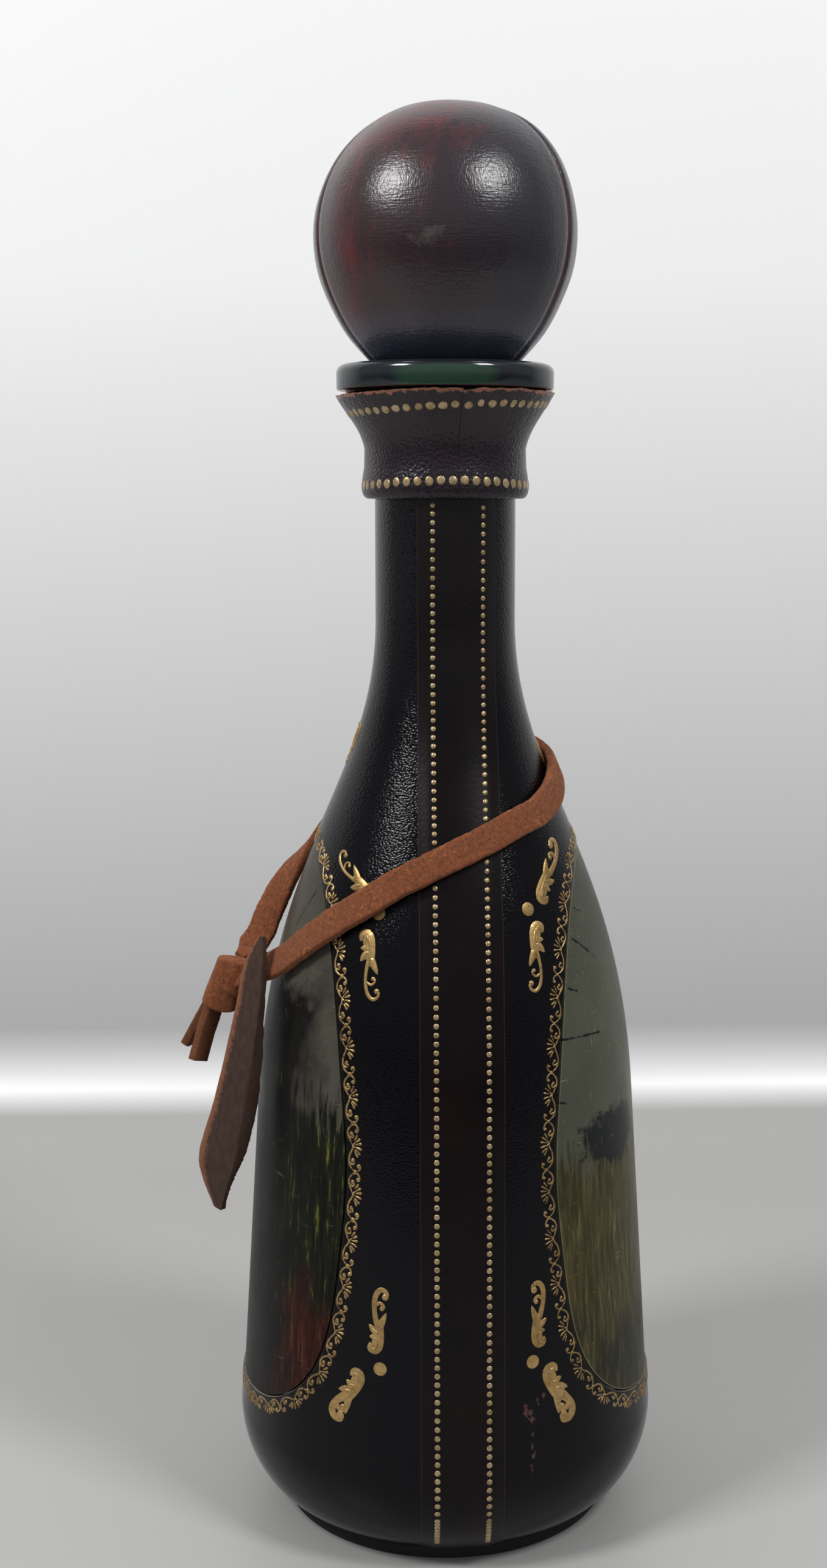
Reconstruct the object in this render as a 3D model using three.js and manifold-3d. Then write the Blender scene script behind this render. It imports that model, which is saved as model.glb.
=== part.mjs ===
// Leather-wrapped glass bottle with a leather-covered ball stopper and a suede lace.
// Millimetres, +Z up. The origin is the middle of the underside, and the front seam faces -Y.
// An azimuth is measured from the front (-Y) towards the right (+X), in degrees.

import * as THREE from 'three';
import { mergeVertices } from 'three/addons/utils/BufferGeometryUtils.js';
import Module from 'manifold-3d';

const wasm = await Module();
wasm.setup();

// Facets round every turned piece: one count, so that nested skins keep their gap.
const FACETS = 30;

// Clearance between pieces that are glued, sewn or laid on each other.
const GAP = 0.3;

// Outer surface of the wrapped body and neck
const BODY_RADIUS = 45;
const HEEL_TOP = 21;
const HEEL_DEPTH = 16;
const HEEL_HEIGHT = 20;
const SHOULDER_Z = 92;
const SHOULDER_RADIUS = 40.6;
const SHOULDER_FULLNESS = 52.4;
const NECK_EASE = 34.6;
const NECK_Z = 192;
const NECK_RADIUS = 14.6;

// Skins
const LEATHER_THICKNESS = 1.3;
const LEATHER_BOTTOM = 3.6;
const LEATHER_TOP = 223;
const PANEL_RECESS = 0.35;
const STRIP_THICKNESS = 0.9;
const STRIP_WIDTH = 17;
const STRIP_OFFSET = 2.2;

// Arched windows in the two leather halves, seen square from the side
const WINDOW_HALF_WIDTH = 35.8;
const WINDOW_WIDEST_Z = 70;
const WINDOW_TOP = 145;
const WINDOW_BOTTOM = 28.5;
const WINDOW_TOP_POWER = 2.2;
const WINDOW_BOTTOM_POWER = 4;

// Leather collar round the flared lip, placed from the top of the neck leather
const COLLAR_OVERLAP = 6.4;
const COLLAR_RISE = 15.3;
const COLLAR_BOTTOM = LEATHER_TOP - COLLAR_OVERLAP;
const COLLAR_TOP = LEATHER_TOP + COLLAR_RISE;
const COLLAR_THICKNESS = 1.5;
const COLLAR_ROLL_RADIUS = 17.3;
const COLLAR_WAIST_RADIUS = 16.8;
const COLLAR_SEAM_AZIMUTH = 7.3;
const LEDGE_HEIGHT = 1.2;
const FLARE_RADIUS = 20.6;

// Glass
const GLASS_WALL = 2.4;
const GLASS_FLOOR = 5;
const LIP_RADIUS = 22.4;
const LIP_SHOWING = 5.5;
const LIP_TOP = COLLAR_TOP + LIP_SHOWING;
const LIP_ROUND = 1.8;
const LIP_UNDERSIDE = 0.55;
const MOUTH_RADIUS = 15.6;
const FUNNEL_DEPTH = 5.8;
const MOUTH_ROUND = 0.8;

// Stopper
const BALL_RADIUS = 26.8;
const BALL_STANDS = 25.1;
const BALL_CENTRE_Z = LIP_TOP + BALL_STANDS;
const BALL_COVER_THICKNESS = 1.2;
const BALL_SEAM_AZIMUTHS = [-74, 65, 180];
const SEAT_CLEARANCE = 0.45;
const SEAT_HEIGHT = 3;
const CORK_LENGTH = 25;
const CORK_TAPER = 0.6;
const DOWEL_RADIUS = 4;
const DOWEL_IN_CORK = 13;
const DOWEL_IN_BALL = 18;

// Base disc
const BASE_SETBACK = 0.5;

// Suede lace: [azimuth, height, clearance under the strap, turn about its own line],
// from the knot round the front and the back to the knot again
const LACE_WIDTH = 6;
const LACE_THICKNESS = 2;
const LACE_CHAMFER = 0.4;
const LACE_STEPS = 64;
const LACE_ON_LEATHER = 0.45;
const LACE_ON_STRIP = GAP + STRIP_THICKNESS + LACE_ON_LEATHER;
const LACE_ROUTE = [
  [-82.5, 115.2, 6.6, 0],
  [-78, 117.2, 4.0, 0],
  [-72, 119.8, 1.4, 0],
  [-64, 122.8, LACE_ON_LEATHER, 0],
  [-54.8, 126.8, LACE_ON_LEATHER, 0],
  [-44.6, 131.1, LACE_ON_LEATHER, 0],
  [-32, 136.5, LACE_ON_LEATHER + 0.2, 0],
  [-18, 142, LACE_ON_STRIP, 0],
  [-1, 147.5, LACE_ON_STRIP, 0],
  [17, 151.6, LACE_ON_STRIP, 0],
  [29, 153.8, LACE_ON_STRIP, 0],
  [45, 156, LACE_ON_LEATHER + 0.3, 0],
  [62, 159.2, LACE_ON_LEATHER + 0.2, 0],
  [82, 163.3, LACE_ON_LEATHER + 0.2, 0],
  [108, 166, LACE_ON_LEATHER, 0],
  [137, 166.5, LACE_ON_LEATHER + 0.2, 0],
  [165, 165, LACE_ON_STRIP, 0],
  [194, 162, LACE_ON_STRIP, 0],
  [220, 157, LACE_ON_LEATHER + 0.4, 0],
  [240, 151.2, LACE_ON_LEATHER + 0.2, 0],
  [252, 146, 0.9, -14],
  [259, 140.4, 1.4, -38],
  [264, 132.6, 2.1, -64],
  [267.5, 127.4, 2.6, -74],
  [270.5, 123.4, 3.1, -74],
  [273.5, 120.9, 4.6, -74],
  [275.8, 119.6, 6.2, -74],
];

// Overhand knot and the two tails that leave it
const KNOT_CENTRE = [-47, -5.4, 115.4];
const KNOT_HALF_LENGTH = 7.2;
const KNOT_HALF_WIDTH = 4.3;
const KNOT_TILT = 32.3;
const KNOT_SIDES = 12;
const TAIL_WIDE = [[-49.6, -6.3, 110.6], [-51.1, -6.9, 105], [-52.6, -7.3, 99.4]];
const TAIL_NARROW = [[-50.2, -2.6, 110.6], [-53, -2.2, 105.6], [-55.8, -1.8, 100.4]];

// Hang tag: rows of [left edge, fold, right edge], from its top down to its tip
const TAG_THICKNESS = 1.5;
const TAG_ROWS = [
  [[-39.0, -14.4, 127.2], [-38.2, -15.2, 127.2], [-37.4, -14.6, 127.0]],
  [[-41.9, -14.4, 122.0], [-38.2, -16.4, 121.6], [-37.4, -15.4, 121.0]],
  [[-44.2, -14.6, 111.5], [-39.2, -18.0, 110.6], [-38.0, -16.2, 110.2]],
  [[-48.8, -13.8, 92.5], [-42.6, -18.2, 91.8], [-39.6, -16.0, 91.8]],
  [[-52.4, -12.6, 79.5], [-44.6, -17.4, 79.0], [-42.8, -15.6, 79.6]],
  [[-51.8, -12.8, 75.0], [-46.0, -17.0, 74.4], [-44.8, -15.4, 75.4]],
  [[-49.4, -13.4, 68.6], [-47.8, -15.6, 68.2], [-47.0, -14.8, 69.2]],
];

// Finishes from the photograph
const FINISH = {
  pebbledLeather: { color: 0x14151c, roughness: 0.42, metalness: 0 },
  oxbloodLeather: { color: 0x32141a, roughness: 0.4, metalness: 0 },
  ballLeather: { color: 0x3a1c1e, roughness: 0.5, metalness: 0 },
  paintedLeather: { color: 0x4c5240, roughness: 0.45, metalness: 0 },
  greenGlass: { color: 0x2f6b3a, roughness: 0.08, metalness: 0 },
  blackFelt: { color: 0x101012, roughness: 0.95, metalness: 0 },
  cork: { color: 0xb98a5a, roughness: 0.9, metalness: 0 },
  wood: { color: 0xb08a5c, roughness: 0.7, metalness: 0 },
  suede: { color: 0x9a5530, roughness: 0.95, metalness: 0 },
  tagLeather: { color: 0x5a3a2c, roughness: 0.85, metalness: 0 },
};

const radians = THREE.MathUtils.degToRad;

// A point on a cubic curve of [radius, height] points.
function cubic(p0, p1, p2, p3, t) {
  const s = 1 - t;
  const mix = (i) => s * s * s * p0[i] + 3 * s * s * t * p1[i] + 3 * s * t * t * p2[i] + t * t * t * p3[i];
  return [mix(0), mix(1)];
}

// Outer profile of the wrapped body from the leather's bottom edge up to a height on the neck.
function bodyProfile(top) {
  const points = [];
  const heelSteps = 5;
  const heelStart = Math.asin((HEEL_TOP - LEATHER_BOTTOM) / HEEL_HEIGHT);
  for (let i = 0; i < heelSteps; i += 1) {
    const angle = heelStart * (1 - i / heelSteps);
    points.push([
      BODY_RADIUS - HEEL_DEPTH * (1 - Math.cos(angle)),
      HEEL_TOP - HEEL_HEIGHT * Math.sin(angle),
    ]);
  }
  const taperSteps = 2;
  for (let i = 0; i < taperSteps; i += 1) {
    const t = i / taperSteps;
    points.push([
      BODY_RADIUS + (SHOULDER_RADIUS - BODY_RADIUS) * t,
      HEEL_TOP + (SHOULDER_Z - HEEL_TOP) * t,
    ]);
  }
  const slope = new THREE.Vector2(SHOULDER_RADIUS - BODY_RADIUS, SHOULDER_Z - HEEL_TOP).normalize();
  const start = [SHOULDER_RADIUS, SHOULDER_Z];
  const startHandle = [start[0] + slope.x * SHOULDER_FULLNESS, start[1] + slope.y * SHOULDER_FULLNESS];
  const end = [NECK_RADIUS, NECK_Z];
  const endHandle = [NECK_RADIUS, NECK_Z - NECK_EASE];
  const shoulderSteps = 9;
  for (let i = 0; i <= shoulderSteps; i += 1) {
    points.push(cubic(start, startHandle, endHandle, end, i / shoulderSteps));
  }
  points.push([NECK_RADIUS, top]);
  return points;
}

// A profile moved sideways along its own normals, outwards for a positive distance.
function offset(points, distance) {
  return points.map((point, i) => {
    const before = points[Math.max(i - 1, 0)];
    const after = points[Math.min(i + 1, points.length - 1)];
    const dr = after[0] - before[0];
    const dz = after[1] - before[1];
    const length = Math.hypot(dr, dz);
    return [point[0] + distance * dz / length, point[1] - distance * dr / length];
  });
}

// Radius, slope and outward normal of the wrapped surface at a height.
function surfaceAt(z) {
  const profile = bodyProfile(LEATHER_TOP);
  let i = 0;
  while (i < profile.length - 2 && profile[i + 1][1] < z) {
    i += 1;
  }
  const [a, b] = [profile[i], profile[i + 1]];
  const t = (z - a[1]) / (b[1] - a[1]);
  const normal = new THREE.Vector2(b[1] - a[1], a[0] - b[0]).normalize();
  return { radius: a[0] + (b[0] - a[0]) * t, normal };
}

// A geometry welded, freed of flat triangles and turned to face outwards, as a solid.
function toSolid(geometry) {
  const bare = geometry.clone();
  bare.deleteAttribute('normal');
  bare.deleteAttribute('uv');
  const welded = mergeVertices(bare, 1e-5);
  const position = welded.attributes.position;
  const corners = welded.index.array;
  const triangles = [];
  const [a, b, c] = [new THREE.Vector3(), new THREE.Vector3(), new THREE.Vector3()];
  let volume = 0;
  for (let i = 0; i < corners.length; i += 3) {
    const [p, q, r] = [corners[i], corners[i + 1], corners[i + 2]];
    if (p !== q && q !== r && r !== p) {
      triangles.push(p, q, r);
      a.fromBufferAttribute(position, p);
      b.fromBufferAttribute(position, q);
      c.fromBufferAttribute(position, r);
      volume += a.dot(b.cross(c));
    }
  }
  if (volume < 0) {
    for (let i = 0; i < triangles.length; i += 3) {
      [triangles[i], triangles[i + 1]] = [triangles[i + 1], triangles[i]];
    }
  }
  const mesh = new wasm.Mesh({
    numProp: 3,
    vertProperties: new Float32Array(position.array),
    triVerts: new Uint32Array(triangles),
  });
  return new wasm.Manifold(mesh);
}

// A solid as a geometry for a mesh.
function toGeometry(solid) {
  const mesh = solid.getMesh();
  const geometry = new THREE.BufferGeometry();
  geometry.setAttribute('position', new THREE.BufferAttribute(new Float32Array(mesh.vertProperties), 3));
  geometry.setIndex(new THREE.BufferAttribute(new Uint32Array(mesh.triVerts), 1));
  geometry.computeVertexNormals();
  return geometry;
}

// A turned solid from [radius, height] points that start and end on the axis or close on themselves.
function turned(points) {
  const profile = points.map(([r, z]) => new THREE.Vector2(Math.max(r, 0), z));
  return toSolid(new THREE.LatheGeometry(profile, FACETS).rotateX(Math.PI / 2));
}

// A turned shell between two profiles of the same number of points.
function turnedShell(outer, inner) {
  return turned([...outer, ...[...inner].reverse(), outer[0]]);
}

// A closed tube through rings of points, all rings with the same count.
function tubeThrough(rings) {
  const count = rings[0].length;
  const positions = [];
  const index = [];
  for (const ring of rings) {
    for (const point of ring) {
      positions.push(point.x, point.y, point.z);
    }
  }
  for (let i = 0; i < rings.length - 1; i += 1) {
    for (let j = 0; j < count; j += 1) {
      const k = (j + 1) % count;
      const [a, b, c, d] = [i * count + j, i * count + k, (i + 1) * count + k, (i + 1) * count + j];
      index.push(a, b, c, a, c, d);
    }
  }
  const last = (rings.length - 1) * count;
  for (let j = 1; j < count - 1; j += 1) {
    index.push(0, j + 1, j);
    index.push(last, last + j, last + j + 1);
  }
  const geometry = new THREE.BufferGeometry();
  geometry.setAttribute('position', new THREE.Float32BufferAttribute(positions, 3));
  geometry.setIndex(index);
  return toSolid(geometry);
}

// A box as a solid, with its centre at a place and a turn about the vertical axis.
function box(size, centre, azimuth = 0) {
  const geometry = new THREE.BoxGeometry(...size);
  geometry.translate(...centre);
  geometry.rotateZ(radians(azimuth));
  return toSolid(geometry);
}

// A thin upright slab from the axis outwards at an azimuth, to part a skin along a seam.
function seamSlab(azimuth, width = GAP) {
  const reach = 2 * BODY_RADIUS;
  const height = 3 * LIP_TOP;
  return box([width, reach, height], [0, -reach / 2, height / 2 - BODY_RADIUS], azimuth);
}

// Outline of a window, drawn in by a margin, as an upright prism that runs out to one side.
function windowPrism(side, margin) {
  const quarter = 12;
  const outline = [];
  const halfWidth = WINDOW_HALF_WIDTH - margin;
  const rise = WINDOW_TOP - WINDOW_WIDEST_Z - margin;
  const drop = WINDOW_WIDEST_Z - WINDOW_BOTTOM - margin;
  for (let i = 0; i < 4 * quarter; i += 1) {
    const angle = (i / quarter) * Math.PI / 2;
    const [c, s] = [Math.cos(angle), Math.sin(angle)];
    const power = s >= 0 ? WINDOW_TOP_POWER : WINDOW_BOTTOM_POWER;
    const y = halfWidth * Math.sign(c) * Math.abs(c) ** (2 / power);
    const z = WINDOW_WIDEST_Z + (s >= 0 ? rise : drop) * Math.sign(s) * Math.abs(s) ** (2 / power);
    outline.push([y, z]);
  }
  const near = side * STRIP_WIDTH / 2;
  const far = side * 1.5 * BODY_RADIUS;
  return tubeThrough([near, far].map((x) => outline.map(([y, z]) => new THREE.Vector3(x, y, z))));
}

// Glass: the wrapped surface drawn in by the leather, then the ledge, the flare and a lip with a straight side.
function glassBottle() {
  const outer = offset(bodyProfile(LEATHER_TOP + GAP), -(LEATHER_THICKNESS + GAP));
  const neck = NECK_RADIUS - LEATHER_THICKNESS - GAP;
  const bore = neck - GLASS_WALL;
  const inner = offset(bodyProfile(LEATHER_TOP), -(LEATHER_THICKNESS + GAP + GLASS_WALL));
  const floor = outer[0][1] + GLASS_FLOOR;
  const hollow = inner.filter(([, z], i) => z > floor + 1 && (i % 2 === 0 || i > inner.length - 3));
  const floorRadius = hollow[0][0] - 1;
  const underside = COLLAR_TOP + LIP_UNDERSIDE;
  const lip = [
    [FLARE_RADIUS + GAP, COLLAR_TOP + GAP],
    [LIP_RADIUS - GAP, underside],
    [LIP_RADIUS, underside + GAP],
  ];
  const lipCentre = [LIP_RADIUS - LIP_ROUND, LIP_TOP - LIP_ROUND];
  for (let angle = 0; angle <= 90; angle += 30) {
    lip.push([
      lipCentre[0] + LIP_ROUND * Math.cos(radians(angle)),
      lipCentre[1] + LIP_ROUND * Math.sin(radians(angle)),
    ]);
  }
  return turned([
    [0, outer[0][1]],
    ...outer,
    ...flareProfile(0),
    ...lip,
    [MOUTH_RADIUS + MOUTH_ROUND, LIP_TOP],
    [MOUTH_RADIUS, LIP_TOP - MOUTH_ROUND],
    [bore, LIP_TOP - FUNNEL_DEPTH],
    ...hollow.reverse().map(([r, z]) => [Math.max(r, bore), z]),
    [floorRadius, floor],
    [0, floor],
  ]);
}

// Flared rim under the collar, from the ledge above the neck leather, moved out by a distance.
function flareProfile(distance) {
  const ledge = [NECK_RADIUS, LEATHER_TOP + LEDGE_HEIGHT];
  const top = [FLARE_RADIUS, COLLAR_TOP];
  const rise = top[1] - ledge[1];
  const curve = [];
  const steps = 5;
  for (let i = 0; i <= steps; i += 1) {
    const handleLow = [ledge[0], ledge[1] + 0.42 * rise];
    const handleHigh = [top[0] - 0.4 * (top[0] - ledge[0]), top[1] - 0.3 * rise];
    curve.push(cubic(ledge, handleLow, handleHigh, top, i / steps));
  }
  return offset(curve, distance);
}

// Collar: a rolled lower edge on the neck leather, a waist, and the flare cut level, with one butt seam.
function leatherCollar() {
  const inside = flareProfile(GAP);
  const outside = flareProfile(GAP + COLLAR_THICKNESS);
  const top = inside[inside.length - 1][1];
  const [below, cut] = outside.slice(-2);
  const share = (top - below[1]) / (cut[1] - below[1]);
  outside[outside.length - 1] = [below[0] + (cut[0] - below[0]) * share, top];
  const bore = NECK_RADIUS + GAP;
  const roll = COLLAR_ROLL_RADIUS - bore;
  const ring = turned([
    [bore, COLLAR_BOTTOM],
    [bore + 0.5 * roll, COLLAR_BOTTOM],
    [COLLAR_ROLL_RADIUS - 0.15 * roll, COLLAR_BOTTOM + 0.3 * roll],
    [COLLAR_ROLL_RADIUS, COLLAR_BOTTOM + roll],
    [COLLAR_WAIST_RADIUS, LEATHER_TOP],
    ...outside.slice(1),
    ...[...inside].reverse(),
    [bore, COLLAR_BOTTOM],
  ]);
  return ring.subtract(seamSlab(COLLAR_SEAM_AZIMUTH));
}

// A strip laid over a seam: offset sideways from the middle plane, constant in width.
function seamStrip(sideOffset, front) {
  const profile = bodyProfile(COLLAR_BOTTOM - GAP);
  const inner = offset(profile, GAP);
  const outer = offset(profile, GAP + STRIP_THICKNESS);
  const columns = 6;
  const around = (r, z, w, base) => {
    const azimuth = Math.asin(sideOffset / base) + w / base + (front ? 0 : Math.PI);
    return new THREE.Vector3(r * Math.sin(azimuth), -r * Math.cos(azimuth), z);
  };
  const rings = profile.map(([base], i) => {
    const ring = [];
    for (let j = 0; j <= columns; j += 1) {
      const w = STRIP_WIDTH * (j / columns - 0.5);
      ring.push(around(outer[i][0], outer[i][1], w, base));
    }
    for (let j = columns; j >= 0; j -= 1) {
      const w = STRIP_WIDTH * (j / columns - 0.5);
      ring.push(around(inner[i][0], inner[i][1], w, base));
    }
    return ring;
  });
  return stripThrough(rings, columns + 1);
}

// A ribbon solid through rings of an outer row and an inner row of points; its ends are quads.
function stripThrough(rings, row) {
  const count = rings[0].length;
  const positions = rings.flat().flatMap((p) => [p.x, p.y, p.z]);
  const index = [];
  for (let i = 0; i < rings.length - 1; i += 1) {
    for (let j = 0; j < count; j += 1) {
      const k = (j + 1) % count;
      const [a, b, c, d] = [i * count + j, i * count + k, (i + 1) * count + k, (i + 1) * count + j];
      index.push(a, b, c, a, c, d);
    }
  }
  const last = (rings.length - 1) * count;
  for (let j = 0; j < row - 1; j += 1) {
    const [a, b, c, d] = [j, j + 1, count - 2 - j, count - 1 - j];
    index.push(a, c, b, a, d, c);
    index.push(last + a, last + b, last + c, last + a, last + c, last + d);
  }
  const geometry = new THREE.BufferGeometry();
  geometry.setAttribute('position', new THREE.Float32BufferAttribute(positions, 3));
  geometry.setIndex(index);
  return toSolid(geometry);
}

// Ball outline: a sphere that runs into a tangent cone down to the seat in the mouth.
function ballProfile() {
  const neck = NECK_RADIUS - LEATHER_THICKNESS - GAP;
  const bore = neck - GLASS_WALL;
  const funnel = (MOUTH_RADIUS - bore) / (FUNNEL_DEPTH - MOUTH_ROUND);
  const seat = [bore + funnel * SEAT_HEIGHT - SEAT_CLEARANCE, LIP_TOP - FUNNEL_DEPTH + SEAT_HEIGHT];
  const reach = [seat[0], BALL_CENTRE_Z - seat[1]];
  const distance = Math.hypot(...reach);
  const tangent = Math.atan2(reach[1], reach[0]) - Math.acos(BALL_RADIUS / distance);
  const points = [seat];
  const steps = 11;
  for (let i = 0; i <= steps; i += 1) {
    const angle = -tangent + (Math.PI / 2 + tangent) * (i / steps);
    points.push([BALL_RADIUS * Math.cos(angle), BALL_CENTRE_Z + BALL_RADIUS * Math.sin(angle)]);
  }
  points[points.length - 1][0] = 0;
  return points;
}

// A ball profile drawn in along its normals, kept on the axis at its top.
function ballInset(distance) {
  const points = offset(ballProfile(), -distance);
  points[points.length - 1] = [0, BALL_CENTRE_Z + BALL_RADIUS - distance];
  return points;
}

// The stopper: cork and dowel under a turned ball, and the ball's leather gores.
function stopperPieces() {
  const neck = NECK_RADIUS - LEATHER_THICKNESS - GAP;
  const bore = neck - GLASS_WALL;
  const core = ballInset(BALL_COVER_THICKNESS + GAP);
  const coreBottom = core[0][1];
  const corkTop = coreBottom - GAP;
  const corkBottom = corkTop - CORK_LENGTH;
  const corkRadius = bore - GAP;
  const socket = DOWEL_RADIUS + GAP;
  const dowelBottom = corkTop - DOWEL_IN_CORK;
  const dowelTop = coreBottom + DOWEL_IN_BALL;
  const cork = turned([
    [0, corkBottom],
    [corkRadius - CORK_TAPER, corkBottom],
    [corkRadius, corkTop],
    [socket, corkTop],
    [socket, dowelBottom - GAP],
    [0, dowelBottom - GAP],
  ]);
  const dowel = turned([
    [0, dowelBottom],
    [DOWEL_RADIUS, dowelBottom],
    [DOWEL_RADIUS, dowelTop],
    [0, dowelTop],
  ]);
  const ball = turned([
    [0, dowelTop + GAP],
    [socket, dowelTop + GAP],
    [socket, coreBottom],
    ...core,
  ]);
  const cover = turned([...ballProfile(), ...ballInset(BALL_COVER_THICKNESS).reverse(), ballProfile()[0]]);
  const gores = BALL_SEAM_AZIMUTHS
    .reduce((rest, azimuth) => rest.subtract(seamSlab(azimuth)), cover)
    .decompose();
  return { cork, dowel, ball, gores };
}

// A place above the wrapped surface: an azimuth, a height and a clearance.
function overSurface(azimuth, z, clearance) {
  const { radius, normal } = surfaceAt(z);
  const out = new THREE.Vector3(Math.sin(radians(azimuth)), -Math.cos(radians(azimuth)), 0);
  const up = out.clone().multiplyScalar(normal.x).setZ(normal.y);
  return { place: out.multiplyScalar(radius).setZ(z).addScaledVector(up, clearance), up };
}

// A flat strap with chamfered corners along places, each with its own outward direction and turn.
function strap(places, outwards, turns) {
  const [w, t, c] = [LACE_WIDTH / 2, LACE_THICKNESS / 2, LACE_CHAMFER];
  const section = [[w, t - c], [w - c, t], [c - w, t], [-w, t - c], [-w, c - t], [c - w, -t], [w - c, -t], [w, c - t]];
  const rings = places.map((place, i) => {
    const before = places[Math.max(i - 1, 0)];
    const after = places[Math.min(i + 1, places.length - 1)];
    const along = after.clone().sub(before).normalize();
    const across = along.clone().cross(outwards[i]).normalize().applyAxisAngle(along, radians(turns[i]));
    const out = across.clone().cross(along).normalize();
    return section.map(([s, o]) => place.clone().addScaledVector(across, s).addScaledVector(out, o));
  });
  return tubeThrough(rings);
}

// The knot, swollen by a margin for cutting the straps back from it.
function knotSolid(margin = 0) {
  const geometry = new THREE.SphereGeometry(1, KNOT_SIDES, KNOT_SIDES);
  geometry.rotateX(Math.PI / 2);
  const width = KNOT_HALF_WIDTH + margin;
  geometry.scale(width, width, KNOT_HALF_LENGTH + margin);
  geometry.rotateY(radians(KNOT_TILT));
  geometry.translate(...KNOT_CENTRE);
  return toSolid(geometry);
}

// The lace loop along its route, ending at the knot; prints the least gap of the loop to itself.
function laceLoop() {
  const spots = LACE_ROUTE.map(([azimuth, z, clearance]) => new THREE.Vector3(azimuth, z, clearance));
  const route = new THREE.CatmullRomCurve3(spots, false, 'centripetal');
  const places = [];
  const outwards = [];
  const turns = [];
  for (let i = 0; i <= LACE_STEPS; i += 1) {
    const spot = route.getPoint(i / LACE_STEPS);
    const { place, up } = overSurface(spot.x, spot.y, spot.z + LACE_THICKNESS / 2);
    places.push(place);
    outwards.push(up);
    const step = (i / LACE_STEPS) * (LACE_ROUTE.length - 1);
    const first = Math.min(Math.floor(step), LACE_ROUTE.length - 2);
    turns.push(THREE.MathUtils.lerp(LACE_ROUTE[first][3], LACE_ROUTE[first + 1][3], step - first));
  }
  reportLoop(places);
  return strap(places, outwards, turns).subtract(knotSolid(GAP));
}

// Length of the loop, and how near two stretches of it come outside the knot.
function reportLoop(places) {
  const knot = new THREE.Vector3(...KNOT_CENTRE);
  let length = 0;
  let least = Infinity;
  for (let i = 1; i < places.length; i += 1) {
    length += places[i].distanceTo(places[i - 1]);
    for (let j = 0; j < i - 12; j += 1) {
      if (places[i].distanceTo(knot) > KNOT_HALF_LENGTH && places[j].distanceTo(knot) > KNOT_HALF_LENGTH) {
        least = Math.min(least, places[i].distanceTo(places[j]));
      }
    }
  }
  const gap = least - LACE_WIDTH / 2 - LACE_THICKNESS / 2;
  console.log(`lace loop ${length.toFixed(1)} mm, least gap to itself ${gap.toFixed(2)} mm`);
}

// A tail of the lace from the knot, with its flat side turned to a direction.
function laceTail(route, facing) {
  const places = route.map((point) => new THREE.Vector3(...point));
  const outwards = places.map(() => new THREE.Vector3(...facing));
  const turns = places.map(() => 0);
  return strap(places, outwards, turns).subtract(knotSolid(GAP));
}

// The folded hang tag: its rows of three points, thickened towards the rear.
function hangTag() {
  const rings = TAG_ROWS.map((row) => {
    const [left, fold, right] = row.map((point) => new THREE.Vector3(...point));
    const behind = new THREE.Vector3(0, TAG_THICKNESS, 0);
    return [left, fold, right, right.clone().add(behind), fold.clone().add(behind), left.clone().add(behind)];
  });
  return stripThrough(rings, 3);
}

const bottle = new THREE.Group();

// A named mesh of one solid in one finish.
function add(name, solid, finish) {
  const mesh = new THREE.Mesh(toGeometry(solid), new THREE.MeshStandardMaterial(finish));
  mesh.name = name;
  bottle.add(mesh);
}

// Glass and base
const glass = glassBottle();
add('glass_bottle', glass, FINISH.greenGlass);
const glassFoot = offset(bodyProfile(LEATHER_TOP), -(LEATHER_THICKNESS + GAP))[0];
const baseRadius = glassFoot[0] - BASE_SETBACK;
const baseTop = glassFoot[1] - GAP;
add('base_disc', turned([[0, 0], [baseRadius, 0], [baseRadius, baseTop], [0, baseTop]]), FINISH.blackFelt);

// Leather halves with their windows, and the painted panels inlaid in them
const wrapOuter = bodyProfile(LEATHER_TOP);
const wrapInner = offset(wrapOuter, -LEATHER_THICKNESS);
const seamReach = 2 * BODY_RADIUS;
const frontSeam = box([GAP, seamReach, 2 * LIP_TOP], [STRIP_OFFSET, -seamReach / 2, 0]);
const backSeam = box([GAP, seamReach, 2 * LIP_TOP], [0, seamReach / 2, 0]);
const bridge = box([STRIP_OFFSET, GAP, 2 * LIP_TOP], [STRIP_OFFSET / 2, 0, 0]);
const wrap = turnedShell(wrapOuter, wrapInner).subtract(frontSeam).subtract(backSeam).subtract(bridge);
const panelShell = turnedShell(offset(wrapOuter, -PANEL_RECESS), wrapInner);
for (const half of wrap.decompose()) {
  const { min, max } = half.boundingBox();
  const side = min[0] + max[0] > 0 ? 1 : -1;
  const word = side > 0 ? 'right' : 'left';
  add(`leather_half_${word}`, half.subtract(windowPrism(side, 0)), FINISH.pebbledLeather);
  add(`painted_panel_${word}`, panelShell.intersect(windowPrism(side, GAP)), FINISH.paintedLeather);
}

// Strips over the two seams, and the collar
add('seam_strip_front', seamStrip(STRIP_OFFSET, true), FINISH.oxbloodLeather);
add('seam_strip_back', seamStrip(0, false), FINISH.oxbloodLeather);
add('leather_collar', leatherCollar(), FINISH.oxbloodLeather);

// Stopper
const stopper = stopperPieces();
add('cork_plug', stopper.cork, FINISH.cork);
add('stopper_dowel', stopper.dowel, FINISH.wood);
add('stopper_ball', stopper.ball, FINISH.wood);
for (const gore of stopper.gores) {
  const { min, max } = gore.boundingBox();
  const middle = (min[0] + max[0]) / 2;
  const front = min[1] + max[1] < -BALL_RADIUS / 4;
  const word = front ? 'front' : (middle > 0 ? 'right' : 'left');
  add(`ball_cover_${word}`, gore, FINISH.ballLeather);
}

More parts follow.
